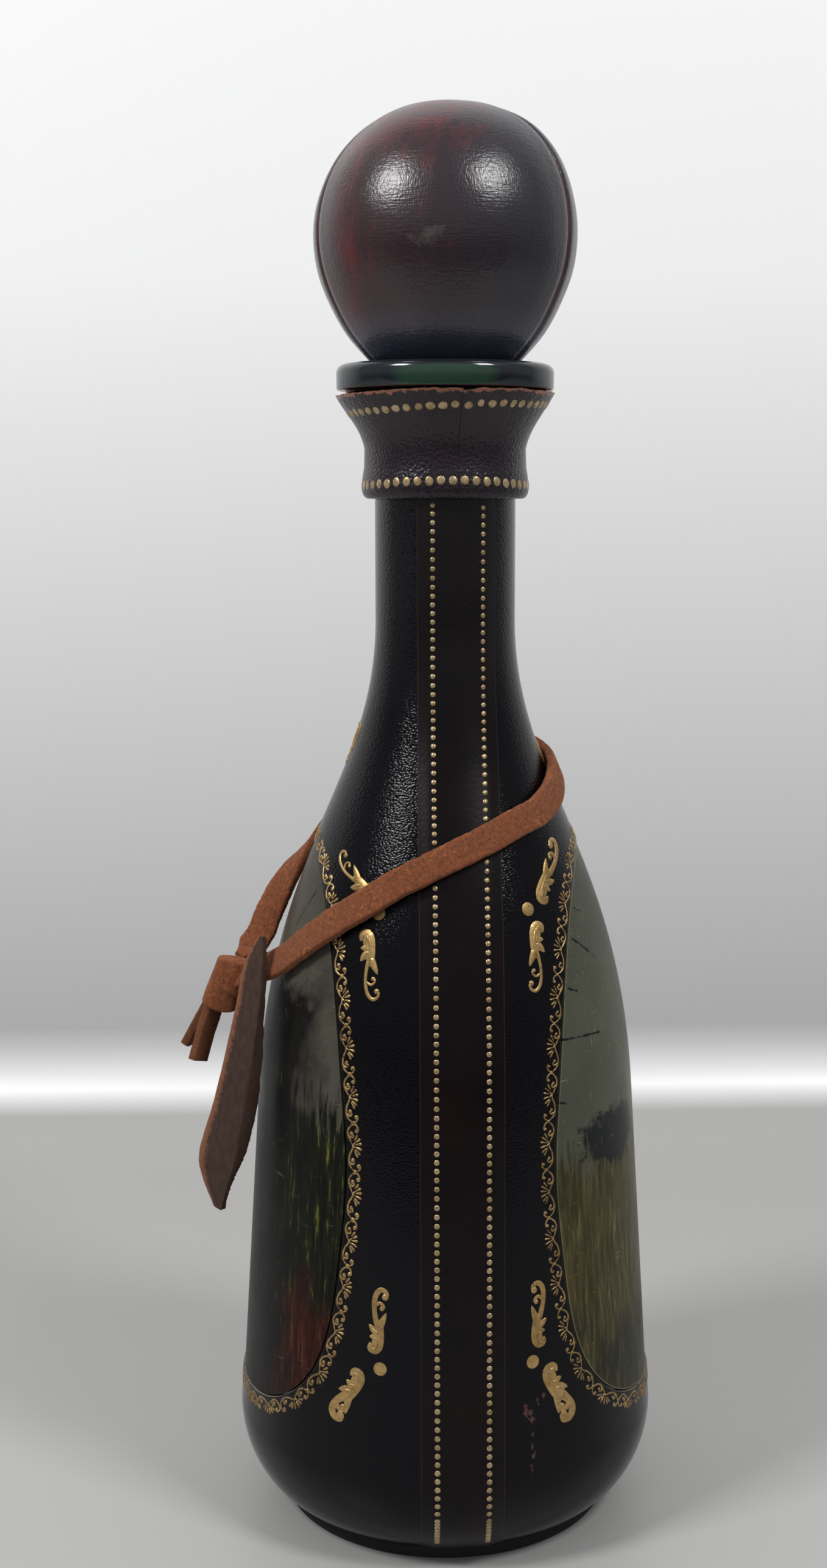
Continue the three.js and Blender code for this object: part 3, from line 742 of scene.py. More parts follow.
@dataclass(frozen=True)
class Suede(Finish):
    """Split hide with its nap raised: soft, lightless tan with dark pores and pale rubbed edges."""

    name: str = "tan_suede"
    tan: str = "#8f4f2b"
    deep: str = "#5e311b"
    pale: str = "#b8763f"
    pore: str = "#2b1710"

    def paint(self, add: Adder) -> Inputs:
        """Mottled nap, scattered pores and a soft sheen.

        Args:
            add: Adds a node.

        Returns:
            The shader's inputs.
        """
        place = add(Kind.COORDS).outputs["Object"]
        nap = add(Kind.NOISE, place, per_metre(0.8), 7.0, 0.8)
        broad = add(Kind.NOISE, place, per_metre(7.0), 2.0)
        lifted = add(Kind.MATH, broad, 0.45, nap, operation="MULTIPLY_ADD")
        pores = add(Kind.CELLS, place, per_metre(0.75))
        uneven = add(Kind.MATH, nap, 0.5, pores, operation="MULTIPLY_ADD")
        return {
            "Base Color": self.coats(add, self.deep, (add(Kind.RANGE, nap, 0.34, 0.62), self.tan),
                                     (add(Kind.RANGE, lifted, 0.78, 0.98), self.pale),
                                     (add(Kind.RANGE, uneven, 0.5, 0.36, 0.0, 0.75), self.pore)),
            "Normal": add(Kind.BUMP, nap, 0.85, 0.4 * MM),
            "Roughness": 0.95,
            "Sheen Weight": 0.25,
            "Sheen Roughness": 0.5,
            "Sheen Tint": "#d8a070",
        }


@dataclass(frozen=True)
class TagLeather(Finish):
    """Vegetable-tanned split, folded and dry: dull brown with a paler fuzzy cut edge."""

    name: str = "dry_tag_leather"
    brown: str = "#452f24"
    dark: str = "#32221a"
    edge: str = "#7f513a"

    def paint(self, add: Adder) -> Inputs:
        """Fibres along the tag, and raw edges across its UV map.

        Args:
            add: Adds a node.

        Returns:
            The shader's inputs.
        """
        coords = add(Kind.COORDS).outputs
        place = coords["Object"]
        fibre = add(Kind.NOISE, add(Kind.MAPPING, place, (1.0, 1.0, 0.4)), per_metre(0.9), 5.0, 0.7)
        across = add(Kind.SPLIT, coords["UV"]).outputs["X"]
        specks = add(Kind.NOISE, place, per_metre(0.8), 3.0)
        wander = add(Kind.MATH, specks, -0.16, across, operation="MULTIPLY_ADD")
        return {
            "Base Color": self.coats(add, self.dark, (add(Kind.RANGE, fibre, 0.35, 0.65), self.brown),
                                     (add(Kind.RANGE, wander, 0.05, -0.04), self.edge)),
            "Normal": add(Kind.BUMP, fibre, 0.45, 0.25 * MM),
            "Roughness": 0.82,
            "IOR": 1.45,
        }


@dataclass(frozen=True)
class GreenGlass(Finish):
    """Bottle-green pressed glass, thick and fire-polished: deep green, with bright lines on its rounds."""

    name: str = "bottle_green_glass"
    green: str = "#2f4a3c"
    deep: str = "#1f242a"

    def paint(self, add: Adder) -> Inputs:
        """Tinted glass with faint waves left by the mould, painted darker where it turns away as painted
        shade.

        Args:
            add: Adds a node.

        Returns:
            The shader's inputs.
        """
        waves = add(Kind.NOISE, add(Kind.COORDS).outputs["Object"], per_metre(9.0), 1.0)
        # Painted shade: where the glass turns away it is painted nearly black, standing in for the dark
        # leather seen through it.
        turned = add(Kind.RANGE, add(Kind.FACING, 0.5).outputs["Facing"], 0.08, 0.15)
        return {
            "Base Color": add(Kind.MIX, turned, self.green, self.deep),
            "Normal": add(Kind.BUMP, waves, 0.06, 0.5 * MM),
            "Roughness": add(Kind.RANGE, waves, 0.3, 0.7, 0.1, 0.18),
            "Transmission Weight": 0.25,
            "IOR": 1.52,
        }


@dataclass(frozen=True)
class Mottled(Finish):
    """A plain matt stuff in two tones: felt, cork, wood or a cut edge, by its grain and colours."""

    name: str = "black_felt"
    light: str = "#17171a"
    dark: str = "#0b0b0d"
    grain: float = 0.6
    drawn_out: float = 1.0
    pits: str = ""
    pit_spacing: float = 2.4
    roughness: float = 0.9
    relief: float = 0.4

    def paint(self, add: Adder) -> Inputs:
        """Two tones by a grain that may be drawn out upwards, with pits where there are any.

        Args:
            add: Adds a node.

        Returns:
            The shader's inputs.
        """
        place = add(Kind.COORDS).outputs["Object"]
        drawn = add(Kind.MAPPING, place, (1.0, 1.0, self.drawn_out))
        height = add(Kind.NOISE, drawn, per_metre(self.grain), 5.0, 0.7)
        colour = add(Kind.MIX, add(Kind.RANGE, height, 0.35, 0.65), self.dark, self.light)
        if self.pits:
            cells = add(Kind.CELLS, place, per_metre(self.pit_spacing))
            pitted = add(Kind.RANGE, cells, 0.24, 0.14)
            colour = add(Kind.MIX, pitted, colour, self.pits)
            height = add(Kind.MATH, height, pitted, operation="SUBTRACT")
        return {
            "Base Color": colour,
            "Normal": add(Kind.BUMP, height, self.relief, 0.3 * MM),
            "Roughness": self.roughness,
        }


@dataclass(frozen=True)
class PaperSheet(Finish):
    """The studio's sheet: grey underfoot and pale behind, faintly glossy, with a painted highlight in its
    crease and painted light on the wall.
    """

    name: str = "studio_paper"
    floor: str = "#b0afad"
    # Painted highlight: the crease is painted white for the lamps' glare in it; low and high paint the wall
    # lighter upwards, standing in for light that falls brighter near its top.
    crease: str = "#ffffff"
    low: str = "#bdbdbd"
    high: str = "#fbfbfb"
    steps: Quad = (2.0, 9.0, 30.0, 290.0)

    def paint(self, add: Adder) -> Inputs:
        """Four tones by height: the floor, a white painted highlight in the crease, and the wall painted
        lighter upwards as painted light; from behind, the sheet isn't there, so that the bottle's back can be
        seen.

        Args:
            add: Adds a node.

        Returns:
            The shader's inputs.
        """
        height = add(Kind.SPLIT, add(Kind.COORDS).outputs["Object"]).outputs["Z"]
        bands = zip(self.steps, self.steps[1:], (self.crease, self.low, self.high))
        tones = [(add(Kind.RANGE, height, start * MM, end * MM), tone) for start, end, tone in bands]
        behind = add(Kind.GEOMETRY).outputs["Backfacing"]
        return {
            "Base Color": self.coats(add, self.floor, *tones),
            "Roughness": 0.4,
            "Alpha": add(Kind.MATH, 1.0, behind, operation="SUBTRACT"),
        }


PEBBLED = PebbledLeather()
OXBLOOD = SmoothLeather()
COLLAR_LEATHER = SmoothLeather(
    name="collar_calf", deep="#19131a", red="#271a20", edge="#96604a", edge_from=0.763, grain=0.6,
    relief=0.55,
)
BALL_LEATHER = WornBallLeather()
PAINT_RIGHT = PaintedLeather(
    name="painted_leather_meadow",
    cracks=((-22.6, 128.1, -18.0, 122.9), (-31.4, 109.3, -23.0, 108.6), (-27.4, 118.9, -25.9, 118.1),
            (-18.9, 133.6, -17.6, 132.8), (-34.0, 97.4, -32.6, 96.5)),
)
PAINT_LEFT = PaintedLeather(
    name="painted_leather_reeds", sky_high="#423f36", sky_low="#504c44", ground="#1d2013",
    ground_dark="#0c0d09", blade="#6f6c26", earth="#2e100b", stroke="#572818", shrub="#12150f",
    dusk_from=-22.5, horizon=96.0, earth_top=54.0, shrub_at=(-2.0, 100.0), rim_worn=0.0, scored=0.22,
    cracks=((-11.9, 128.9, -15.6, 138.4),),
)
GOLD = GoldFoil()
GOLD_BORDER = GoldFoil(
    name="rubbed_gold_border", bright="#b69763", dull="#8e7449", copper="#443120", rubbed=0.75,
)
GOLD_DOTS = GoldFoil(name="worn_gold_dots", bright="#c0aa84", dull="#9a835a", copper="#644c32", rubbed=0.5)
SUEDE = Suede()
# Painted shade: a darker copy of the tan suede for the hanging tails, standing in for the shade that falls on
# them.
SUEDE_SHADED_TAILS = Suede(name="tan_suede_shaded", tan="#784326", deep="#4e2a18", pale="#96633b")
TAG_LEATHER = TagLeather()
GLASS = GreenGlass()
FELT = Mottled()
CUT_EDGE = Mottled(name="raw_cut_edge", light="#8a8372", dark="#4c453c", grain=0.9, roughness=0.85)
CORK = Mottled(name="pressed_cork", light="#b98a5a", dark="#94683f", grain=2.2, pits="#5b3a22")
WOOD = Mottled(
    name="turned_beech", light="#b48d60", dark="#94693f", grain=1.2, drawn_out=0.12, roughness=0.65,
    relief=0.15,
)


def mount(piece: Piece, finish: Finish, body: Body, nodes: Sequence[str] = ()) -> Piece:
    """Dresses a piece, lets it ride on a body and lets it stand for the solids that it replaces.

    Args:
        piece: The piece.
        finish: Its finish.
        body: The body that it moves with.
        nodes: The solids that it stands for.

    Returns:
        The piece.
    """
    finish.dress(piece)
    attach(piece, body.value)
    if nodes:
        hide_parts(*nodes)
    LOG.info("%s: %d faces, %s", piece.name, len(piece.data.polygons), finish.name)
    return piece


@dataclass(frozen=True)
class BottleForm:
    """Outer surface of the wrapped bottle, on which all the skins and the tooling lie."""

    body_radius: float = 45.0
    heel_top: float = 21.0
    heel_depth: float = 16.0
    heel_height: float = 20.0
    heel_steps: int = 24
    side_steps: int = 12
    shoulder_z: float = 92.0
    shoulder_radius: float = 40.6
    shoulder_fullness: float = 52.4
    shoulder_steps: int = 60
    neck_z: float = 192.0
    neck_radius: float = 14.6
    neck_ease: float = 34.6
    neck_steps: int = 8
    bottom: float = 3.6
    top: float = 223.0

    @cached_property
    def profile(self) -> list[Pair]:
        """The surface's outline, from the bottom edge to the top.

        Returns:
            The outline's points as (radius, height).
        """
        points: list[Pair] = []
        start = math.asin((self.heel_top - self.bottom) / self.heel_height)
        for i in range(self.heel_steps):
            angle = start * (1 - i / self.heel_steps)
            points.append((self.body_radius - self.heel_depth * (1 - math.cos(angle)),
                           self.heel_top - self.heel_height * math.sin(angle)))
        for i in range(self.side_steps):
            points.append((self.body_radius + (self.shoulder_radius - self.body_radius) * i / self.side_steps,
                           self.heel_top + (self.shoulder_z - self.heel_top) * i / self.side_steps))
        slope = Vector((self.shoulder_radius - self.body_radius, self.shoulder_z - self.heel_top))
        shoulder = Vector((self.shoulder_radius, self.shoulder_z))
        knots = (shoulder, shoulder + slope.normalized() * self.shoulder_fullness,
                 (self.neck_radius, self.neck_z - self.neck_ease), (self.neck_radius, self.neck_z))
        for i in range(self.shoulder_steps + 1):
            spot = swept(knots, i / self.shoulder_steps)
            points.append((spot.x, spot.y))
        points += [(self.neck_radius, self.neck_z + (self.top - self.neck_z) * i / self.neck_steps)
                   for i in range(1, self.neck_steps + 1)]
        return points

    @cached_property
    def lengths(self) -> list[float]:
        """Length along the outline at each of its points."""
        return run_lengths(self.profile)

    @cached_property
    def radii(self) -> list[float]:
        """Radius at each of the outline's points."""
        return [radius for radius, _ in self.profile]

    @cached_property
    def heights(self) -> list[float]:
        """Height of each of the outline's points."""
        return [z for _, z in self.profile]

    def radius(self, z: float) -> float:
        """Radius of the surface at a height."""
        return between(self.heights, self.radii, z)

    def length(self, z: float) -> float:
        """Length along the outline at a height."""
        return between(self.heights, self.lengths, z)

    def height(self, length: float) -> float:
        """Height at a length along the outline."""
        return between(self.lengths, self.heights, length)

    def normal(self, z: float) -> Pair:
        """Outward direction of the surface.

        Args:
            z: Height of the place.

        Returns:
            The direction as (radial, upward).
        """
        low, high = max(z - 0.5, self.bottom), min(z + 0.5, self.top)
        rise = high - low
        fall = self.radius(low) - self.radius(high)
        size = math.hypot(rise, fall)
        return rise / size, fall / size

    def place(self, azimuth: float, z: float, lift: float = 0.0) -> Vector:
        """A place at an azimuth, a lift along the surface's normal from its foot at a height."""
        radial, upward = self.normal(z)
        return polar(self.radius(z) + radial * lift, azimuth, z + upward * lift)

    def spread(self, azimuth: float, z: float, east: float, north: float, lift: float) -> Vector:
        """A place reached from a spot by going along the surface, east round the axis and north up it."""
        up = self.height(self.length(z) + north)
        return self.place(azimuth + east / self.radius(up), up, lift)


FORM = BottleForm()


@dataclass(frozen=True)
class Seams:
    """Where the two leather halves meet: in front a little right of the middle, behind in the middle."""

    front_offset: float = 2.2

    def front(self, z: float) -> float:
        """Azimuth of the front seam at a height."""
        return math.asin(self.front_offset / FORM.radius(z))

    def azimuth(self, side: Side, share: float, z: float) -> float:
        """Azimuth at a share of the way from the front seam to the back seam on one side."""
        front = self.front(z)
        return front + share * (side.value * math.pi - front)

    def share(self, side: Side, azimuth: float, z: float) -> float:
        """Share of the way from the front seam to the back seam at an azimuth."""
        front = self.front(z)
        return (azimuth - front) / (side.value * math.pi - front)

    def skin(self, side: Side, starts: Sequence[Pair], ends: Sequence[Pair], lift: float = 0.0) -> Place:
        """How a skin lies on the form between two lines of (share from seam to seam, height).

        Args:
            side: Which side of the bottle.
            starts: Where each of its columns starts.
            ends: Where each of its columns ends.
            lift: How far it stands off the form.

        Returns:
            The place for shares across and up the skin.
        """
        count = len(starts)

        def lay(u: float, v: float) -> Vector:
            """A place on the straight way from a column's start to its end."""
            k = round(u * count) % count
            share = starts[k][0] + (ends[k][0] - starts[k][0]) * v
            z = starts[k][1] + (ends[k][1] - starts[k][1]) * v
            return FORM.place(self.azimuth(side, share, z), z, lift)

        return lay


SEAMS = Seams()


@dataclass(frozen=True)
class Window:
    """The arched window in each leather half, drawn square from the side."""

    half_width: float = 35.8
    widest_z: float = 70.0
    top: float = 145.0
    bottom: float = 28.5
    top_power: float = 2.2
    bottom_power: float = 4.0
    fine_steps: int = 1440

    def path(self, side: Side, count: int, margin: float = 0.0) -> list[Pair]:
        """The window's outline on the surface in evenly spaced points, from the front over the top.

        Args:
            side: Which window.
            count: Points all round.
            margin: How far the outline is drawn in.

        Returns:
            The points as (azimuth, height), the first not repeated.
        """
        azimuths, heights = [], []
        for i in range(self.fine_steps + 1):
            angle = math.pi - math.tau * i / self.fine_steps
            c, s = math.cos(angle), math.sin(angle)
            power = self.top_power if s >= 0 else self.bottom_power
            rise = (self.top - self.widest_z if s >= 0 else self.widest_z - self.bottom) - margin
            y = (self.half_width - margin) * math.copysign(abs(c) ** (2 / power), c)
            z = self.widest_z + rise * math.copysign(abs(s) ** (2 / power), s)
            x = math.sqrt(max(FORM.radius(z) ** 2 - y * y, 0.0))
            azimuths.append(side.value * math.atan2(x, -y))
            heights.append(z)
        total = run_lengths([FORM.place(azimuth, z) for azimuth, z in zip(azimuths, heights)])
        wanted = [total[-1] * k / count for k in range(count)]
        return [(between(total, azimuths, want), between(total, heights, want)) for want in wanted]

    def rim(self, side: Side, count: int, margin: float = 0.0) -> list[Pair]:
        """The same outline as (share from seam to seam, height)."""
        return [(SEAMS.share(side, azimuth, z), z) for azimuth, z in self.path(side, count, margin)]

    def middle(self, side: Side) -> float:
        """Share from seam to seam of the window's middle line."""
        return SEAMS.share(side, side.value * math.pi / 2, self.widest_z)


WINDOW = Window()


@dataclass
class GlassBottle:
    """The bottle itself, of which only the rounded lip shows."""

    inset: float = 1.6
    wall: float = 2.4
    floor: float = 5.0
    ledge_z: float = 224.2
    flare_radius: float = 20.6
    flare_z: float = 238.3
    flare_straight: float = 0.42
    flare_lean: Pair = (0.4, 0.3)
    gap: float = 0.3
    lip_radius: float = 22.4
    lip_top: float = 243.8
    lip_round: float = 1.8
    lip_steps: int = 12
    underside: float = 0.25
    mouth_radius: float = 15.6
    mouth_round: float = 0.8
    mouth_steps: int = 5
    mouth_turn: float = 75.0
    funnel_depth: float = 5.8

    def flare(self, distance: float, steps: int = 14) -> list[Pair]:
        """Outline of the flared rim, moved out by a distance.

        Args:
            distance: How far it is moved out.
            steps: Parts of the outline.

        Returns:
            The outline as (radius, height), from the ledge up.
        """
        rise = self.flare_z - self.ledge_z
        out, down = self.flare_lean
        leaning = self.flare_radius - out * (self.flare_radius - FORM.neck_radius)
        knots = [Vector((FORM.neck_radius, self.ledge_z)),
                 Vector((FORM.neck_radius, self.ledge_z + self.flare_straight * rise)),
                 Vector((leaning, self.flare_z - down * rise)),
                 Vector((self.flare_radius, self.flare_z))]
        moved: list[Pair] = []
        for i in range(steps + 1):
            t = i / steps
            s = 1 - t
            spot = swept(knots, t)
            run = Vector((0.0, 0.0))
            for a, b, weight in zip(knots, knots[1:], (s * s, 2 * s * t, t * t)):
                run += (b - a) * weight
            run.normalize()
            moved.append((spot.x + distance * run.y, spot.y - distance * run.x))
        return moved

    def outline(self) -> list[Pair]:
        """The glass in section, from the axis below round its outside to the axis within.

        Returns:
            The section's points as (radius, height).
        """
        neck = FORM.neck_radius - self.inset
        bore = neck - self.wall
        deep = self.inset + self.wall
        outer = []
        inner = []
        for radius, z in FORM.profile:
            radial, upward = FORM.normal(z)
            outer.append((radius - radial * self.inset, z - upward * self.inset))
            inner.append((max(radius - radial * deep, bore), z - upward * deep))
        bottom = outer[0][1]
        floor, funnel = bottom + self.floor, self.lip_top - self.funnel_depth
        hollow = [(r, z) for r, z in inner if floor + 2.0 < z < funnel - 1.0]
        under = self.flare_z + self.underside
        lip = [
            (self.flare_radius + self.gap, self.flare_z + self.gap), (self.lip_radius - 0.6, under),
            (self.lip_radius - 0.2, under + 0.12), (self.lip_radius - 0.04, under + 0.4),
        ]
        for i in range(self.lip_steps + 1):
            angle = math.radians(90 * i / self.lip_steps)
            lip.append((self.lip_radius - self.lip_round * (1 - math.cos(angle)),
                        self.lip_top - self.lip_round * (1 - math.sin(angle))))
        mouth = []
        for i in range(self.mouth_steps + 1):
            angle = math.radians(90 + self.mouth_turn * i / self.mouth_steps)
            mouth.append((self.mouth_radius + self.mouth_round * (1 + math.cos(angle)),
                          self.lip_top - self.mouth_round * (1 - math.sin(angle))))
        foot = hollow[0][0]
        return [
            (0.0, bottom), *outer[:-1], (neck, FORM.top), *self.flare(0.0), *lip, *mouth, (bore, funnel),
            *reversed(hollow), (foot - 0.6, floor + 0.5), (foot - 2.2, floor), (0.0, floor),
        ]

    def build(self) -> None:
        """Turns the bottle."""
        piece = spun("glass_smooth", self.outline(), 112)
        smooth(piece, 50)
        mount(piece, GLASS, Body.BOTTLE, ["glass_bottle"])


@dataclass
class BaseDisc:
    """The dark disc under the bottle."""

    edge_round: float = 0.7
    edge_cut: float = 0.3
    cover: float = 0.15

    def build(self) -> None:
        """Turns the disc to the size of its solid, with rounded edges."""
        _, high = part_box("base_disc")
        radius, top, edge = high.x / MM + self.cover, high.z / MM, self.edge_round
        cut = self.edge_cut * edge
        outline = [(0, 0), (radius - edge, 0), (radius - cut, cut), (radius, edge), (radius, top - edge),
                   (radius - cut, top - cut), (radius - edge, top), (0, top)]
        piece = spun("base_pad", outline)
        smooth(piece, 50)
        mount(piece, FELT, Body.BOTTLE, ["base_disc"])


@dataclass
class LeatherHalf:
    """One half of the black wrap, with its window cut out."""

    side: Side
    thickness: float = 1.3
    around: int = 280
    outward: int = 46
    spread: float = 126.0
    edge_round: float = 0.22
    sharp: float = 55.0

    def outer(self, rim: Sequence[Pair]) -> list[Pair]:
        """For each point of the window's rim, the point on the half's outer edge straight outwards from it.

        Args:
            rim: The rim as (share from seam to seam, height).

        Returns:
            Points on the edge in the same terms, with the four corners among them.
        """
        middle, centre_z = WINDOW.middle(self.side), WINDOW.widest_z
        left, right = -middle * self.spread, (1 - middle) * self.spread
        low, high = FORM.bottom - centre_z, FORM.top - centre_z
        ways = []
        found = []
        for share, z in rim:
            across, up = (share - middle) * self.spread, z - centre_z
            ways.append(math.atan2(up, across))
            reaches = []
            if abs(across) > TINY:
                reaches.append((right if across > 0 else left) / across)
            if abs(up) > TINY:
                reaches.append((high if up > 0 else low) / up)
            reach = min(reaches)
            found.append((middle + across * reach / self.spread, centre_z + up * reach))
        for across, up in ((left, low), (left, high), (right, low), (right, high)):
            way = math.atan2(up, across)
            nearest = min(range(len(ways)), key=lambda k: abs(math.remainder(ways[k] - way, math.tau)))
            found[nearest] = (middle + across / self.spread, centre_z + up)
        return found

    def build(self) -> None:
        """Lays the skin round the window, gives it its thickness and rounds its edges."""
        rim = WINDOW.rim(self.side, self.around)
        word = self.side.name.lower()
        lay = SEAMS.skin(self.side, rim, self.outer(rim))
        piece = laid_grid(f"wrap_{word}", self.around, self.outward, lay, ring=True)
        face_out(piece)
        mount(piece, PEBBLED, Body.BOTTLE, [f"leather_half_{word}"])
        piece.data.materials.append(CUT_EDGE.material())
        apply(piece, "SOLIDIFY", thickness=self.thickness * MM, offset=-1.0, material_offset_rim=1)
        apply(piece, "BEVEL", width=self.edge_round * MM, segments=2, limit_method="ANGLE",
              angle_limit=math.radians(self.sharp))
        smooth(piece, self.sharp)


@dataclass
class PaintedPanel:
    """A painted panel inlaid in a window, a little below the wrap."""

    side: Side
    recess: float = 0.35
    thickness: float = 0.9
    margin: float = 0.3
    around: int = 200
    inward: int = 32

    def build(self) -> None:
        """Lays the panel from its middle to the window's rim."""
        middle = [(WINDOW.middle(self.side), WINDOW.widest_z)] * self.around
        word = self.side.name.lower()
        lay = SEAMS.skin(self.side, middle, WINDOW.rim(self.side, self.around, self.margin), -self.recess)
        piece = laid_grid(f"panel_{word}", self.around, self.inward, lay, ring=True)
        face_out(piece)
        finish = PAINT_RIGHT if self.side is Side.RIGHT else PAINT_LEFT
        mount(piece, finish, Body.BOTTLE, [f"painted_panel_{word}"])
        apply(piece, "SOLIDIFY", thickness=self.thickness * MM, offset=-1.0)
        smooth(piece, 50)


@dataclass
class SeamStrip:
    """A smooth strip over a seam, thinned at its edges so that it lies flush."""

    front: bool
    width: float = 17.0
    top: float = 217.4
    crown: float = 0.34
    edge: float = 0.05
    thinned: float = 3.2
    hem: float = 1.0
    thickness: float = 0.3
    across: int = 22
    along: int = 170
    crowding: float = 1.4

    def azimuth(self, w: float, z: float) -> float:
        """Azimuth at a distance from the strip's middle line."""
        start = SEAMS.front(z) if self.front else math.pi
        return start + w / FORM.radius(z)

    def lift(self, w: float) -> float:
        """Height of the strip's face over the wrap at a distance from its middle line."""
        return self.edge + (self.crown - self.edge) * ease(self.width / 2 - abs(w), 0.0, self.thinned)

    def build(self) -> None:
        """Lays the strip from the bottom edge up to under the collar."""
        low, high = FORM.length(FORM.bottom) + self.hem, FORM.length(self.top)

        def lay(u: float, v: float) -> Vector:
            """A place on the strip's face, with the columns crowded towards its edges."""
            w = self.width / 2 * math.copysign(1 - (1 - abs(2 * u - 1)) ** self.crowding, u - 0.5)
            z = FORM.height(low + (high - low) * v)
            return FORM.place(self.azimuth(w, z), z, self.lift(w))

        word = "front" if self.front else "back"
        piece = laid_grid(f"strip_{word}", self.across, self.along, lay)
        face_out(piece)
        mount(piece, OXBLOOD, Body.BOTTLE, [f"seam_strip_{word}"])
        apply(piece, "SOLIDIFY", thickness=self.thickness * MM, offset=-1.0)
        smooth(piece, 55)


@dataclass
class Collar:
    """The leather collar: a rolled lower edge, a waist and a flare with a raw cut top, sewn edge to edge."""

    glass: GlassBottle
    bottom: float = 216.6
    bore: float = 14.9
    roll_radius: float = 17.3
    waist_radius: float = 16.8
    gap: float = 0.3
    thickness: float = 1.5
    seam: float = math.radians(7.3)
    seam_gap: float = 0.07
    uneven_from: float = 6.0
    tilt: float = 0.3
    droop: float = 0.35
    wave: float = 0.16
    cut: float = 0.2
    lap: float = 0.35
    lap_share: float = 0.03
    around: int = 200

    @cached_property
    def section(self) -> list[Pair]:
        """The collar in section, from the bore at its foot up its outside and down its inside.

        Returns:
            The section's points as (radius, height).
        """
        outside = self.glass.flare(self.gap + self.thickness, 22)
        inside = self.glass.flare(self.gap, 10)
        (low_r, low_z), (high_r, high_z) = outside[-2:]
        top = inside[-1][1]
        outside[-1] = (low_r + (high_r - low_r) * (top - low_z) / (high_z - low_z), top)
        roll = self.roll_radius - self.bore
        face: list[Pair] = [
            (self.bore, self.bottom), (self.bore + 0.5 * roll, self.bottom),
            (self.roll_radius - 0.28 * roll, self.bottom + 0.12 * roll),
            (self.roll_radius - 0.05 * roll, self.bottom + 0.5 * roll),
            (self.roll_radius, self.bottom + roll), (self.roll_radius - 0.1, self.bottom + 1.6 * roll),
            (self.waist_radius, FORM.top),
        ]
        skin = [(p.x, p.y) for p in (curve_through(face[1:], i / 24) for i in range(25))]
        return [face[0], *skin, *outside[4:], *reversed(inside), (self.bore, FORM.top - 1.0)]

    def surface(self, z: float) -> tuple[float, Pair]:
        """The collar's outside at a height.

        Args:
            z: The height.

        Returns:
            The radius there, and the outward direction as (radial, upward).
        """
        outside = [p for p in self.section[3:48] if p[0] > self.bore + 1.0]
        for (r0, z0), (r1, z1) in zip(outside, outside[1:]):
            if z0 <= z <= z1:
                size = math.hypot(r1 - r0, z1 - z0)
                return r0 + (r1 - r0) * (z - z0) / (z1 - z0), ((z1 - z0) / size, (r0 - r1) / size)
        return outside[-1][0], (1.0, 0.0)

    def rise(self, azimuth: float, z: float) -> float:
        """How far the unevenly cut flare lies over its even height, lower at the sides and right of the seam.

        Args:
            azimuth: Round the axis from the front.
            z: The even height.

        Returns:
            The rise, below 0 where the flare lies lower.
        """
        c, s = math.cos(azimuth), math.sin(azimuth)
        share = (azimuth - self.seam) / math.tau % 1.0
        wave = self.tilt * s - self.droop * s * s + self.wave * ripple(1.0, 3 * c, 3 * s)
        cut = self.cut * ripple(2.0, 17 * c, 17 * s)
        lapped = self.lap * (1 - ease(share, 0.0, self.lap_share))
        return ease(z, FORM.top + self.uneven_from, self.glass.flare_z) * (wave + cut - lapped)

    def build(self) -> None:
        """Wraps the section round the neck from one side of the seam to the other."""
        section = self.section
        count = len(section)

        def lay(u: float, v: float) -> Vector:
            """A place on the section, turned to a share of the way round."""
            radius, z = section[round(v * count) % count]
            half = self.seam_gap / 2 / radius
            azimuth = self.seam + half + (math.tau - 2 * half) * u
            return polar(radius, azimuth, z + self.rise(azimuth, z))

        piece = laid_grid("collar", self.around, count, lay, ring=True)
        close_ends(piece)
        smooth(piece, 42)
        mount(piece, COLLAR_LEATHER, Body.BOTTLE, ["leather_collar"])


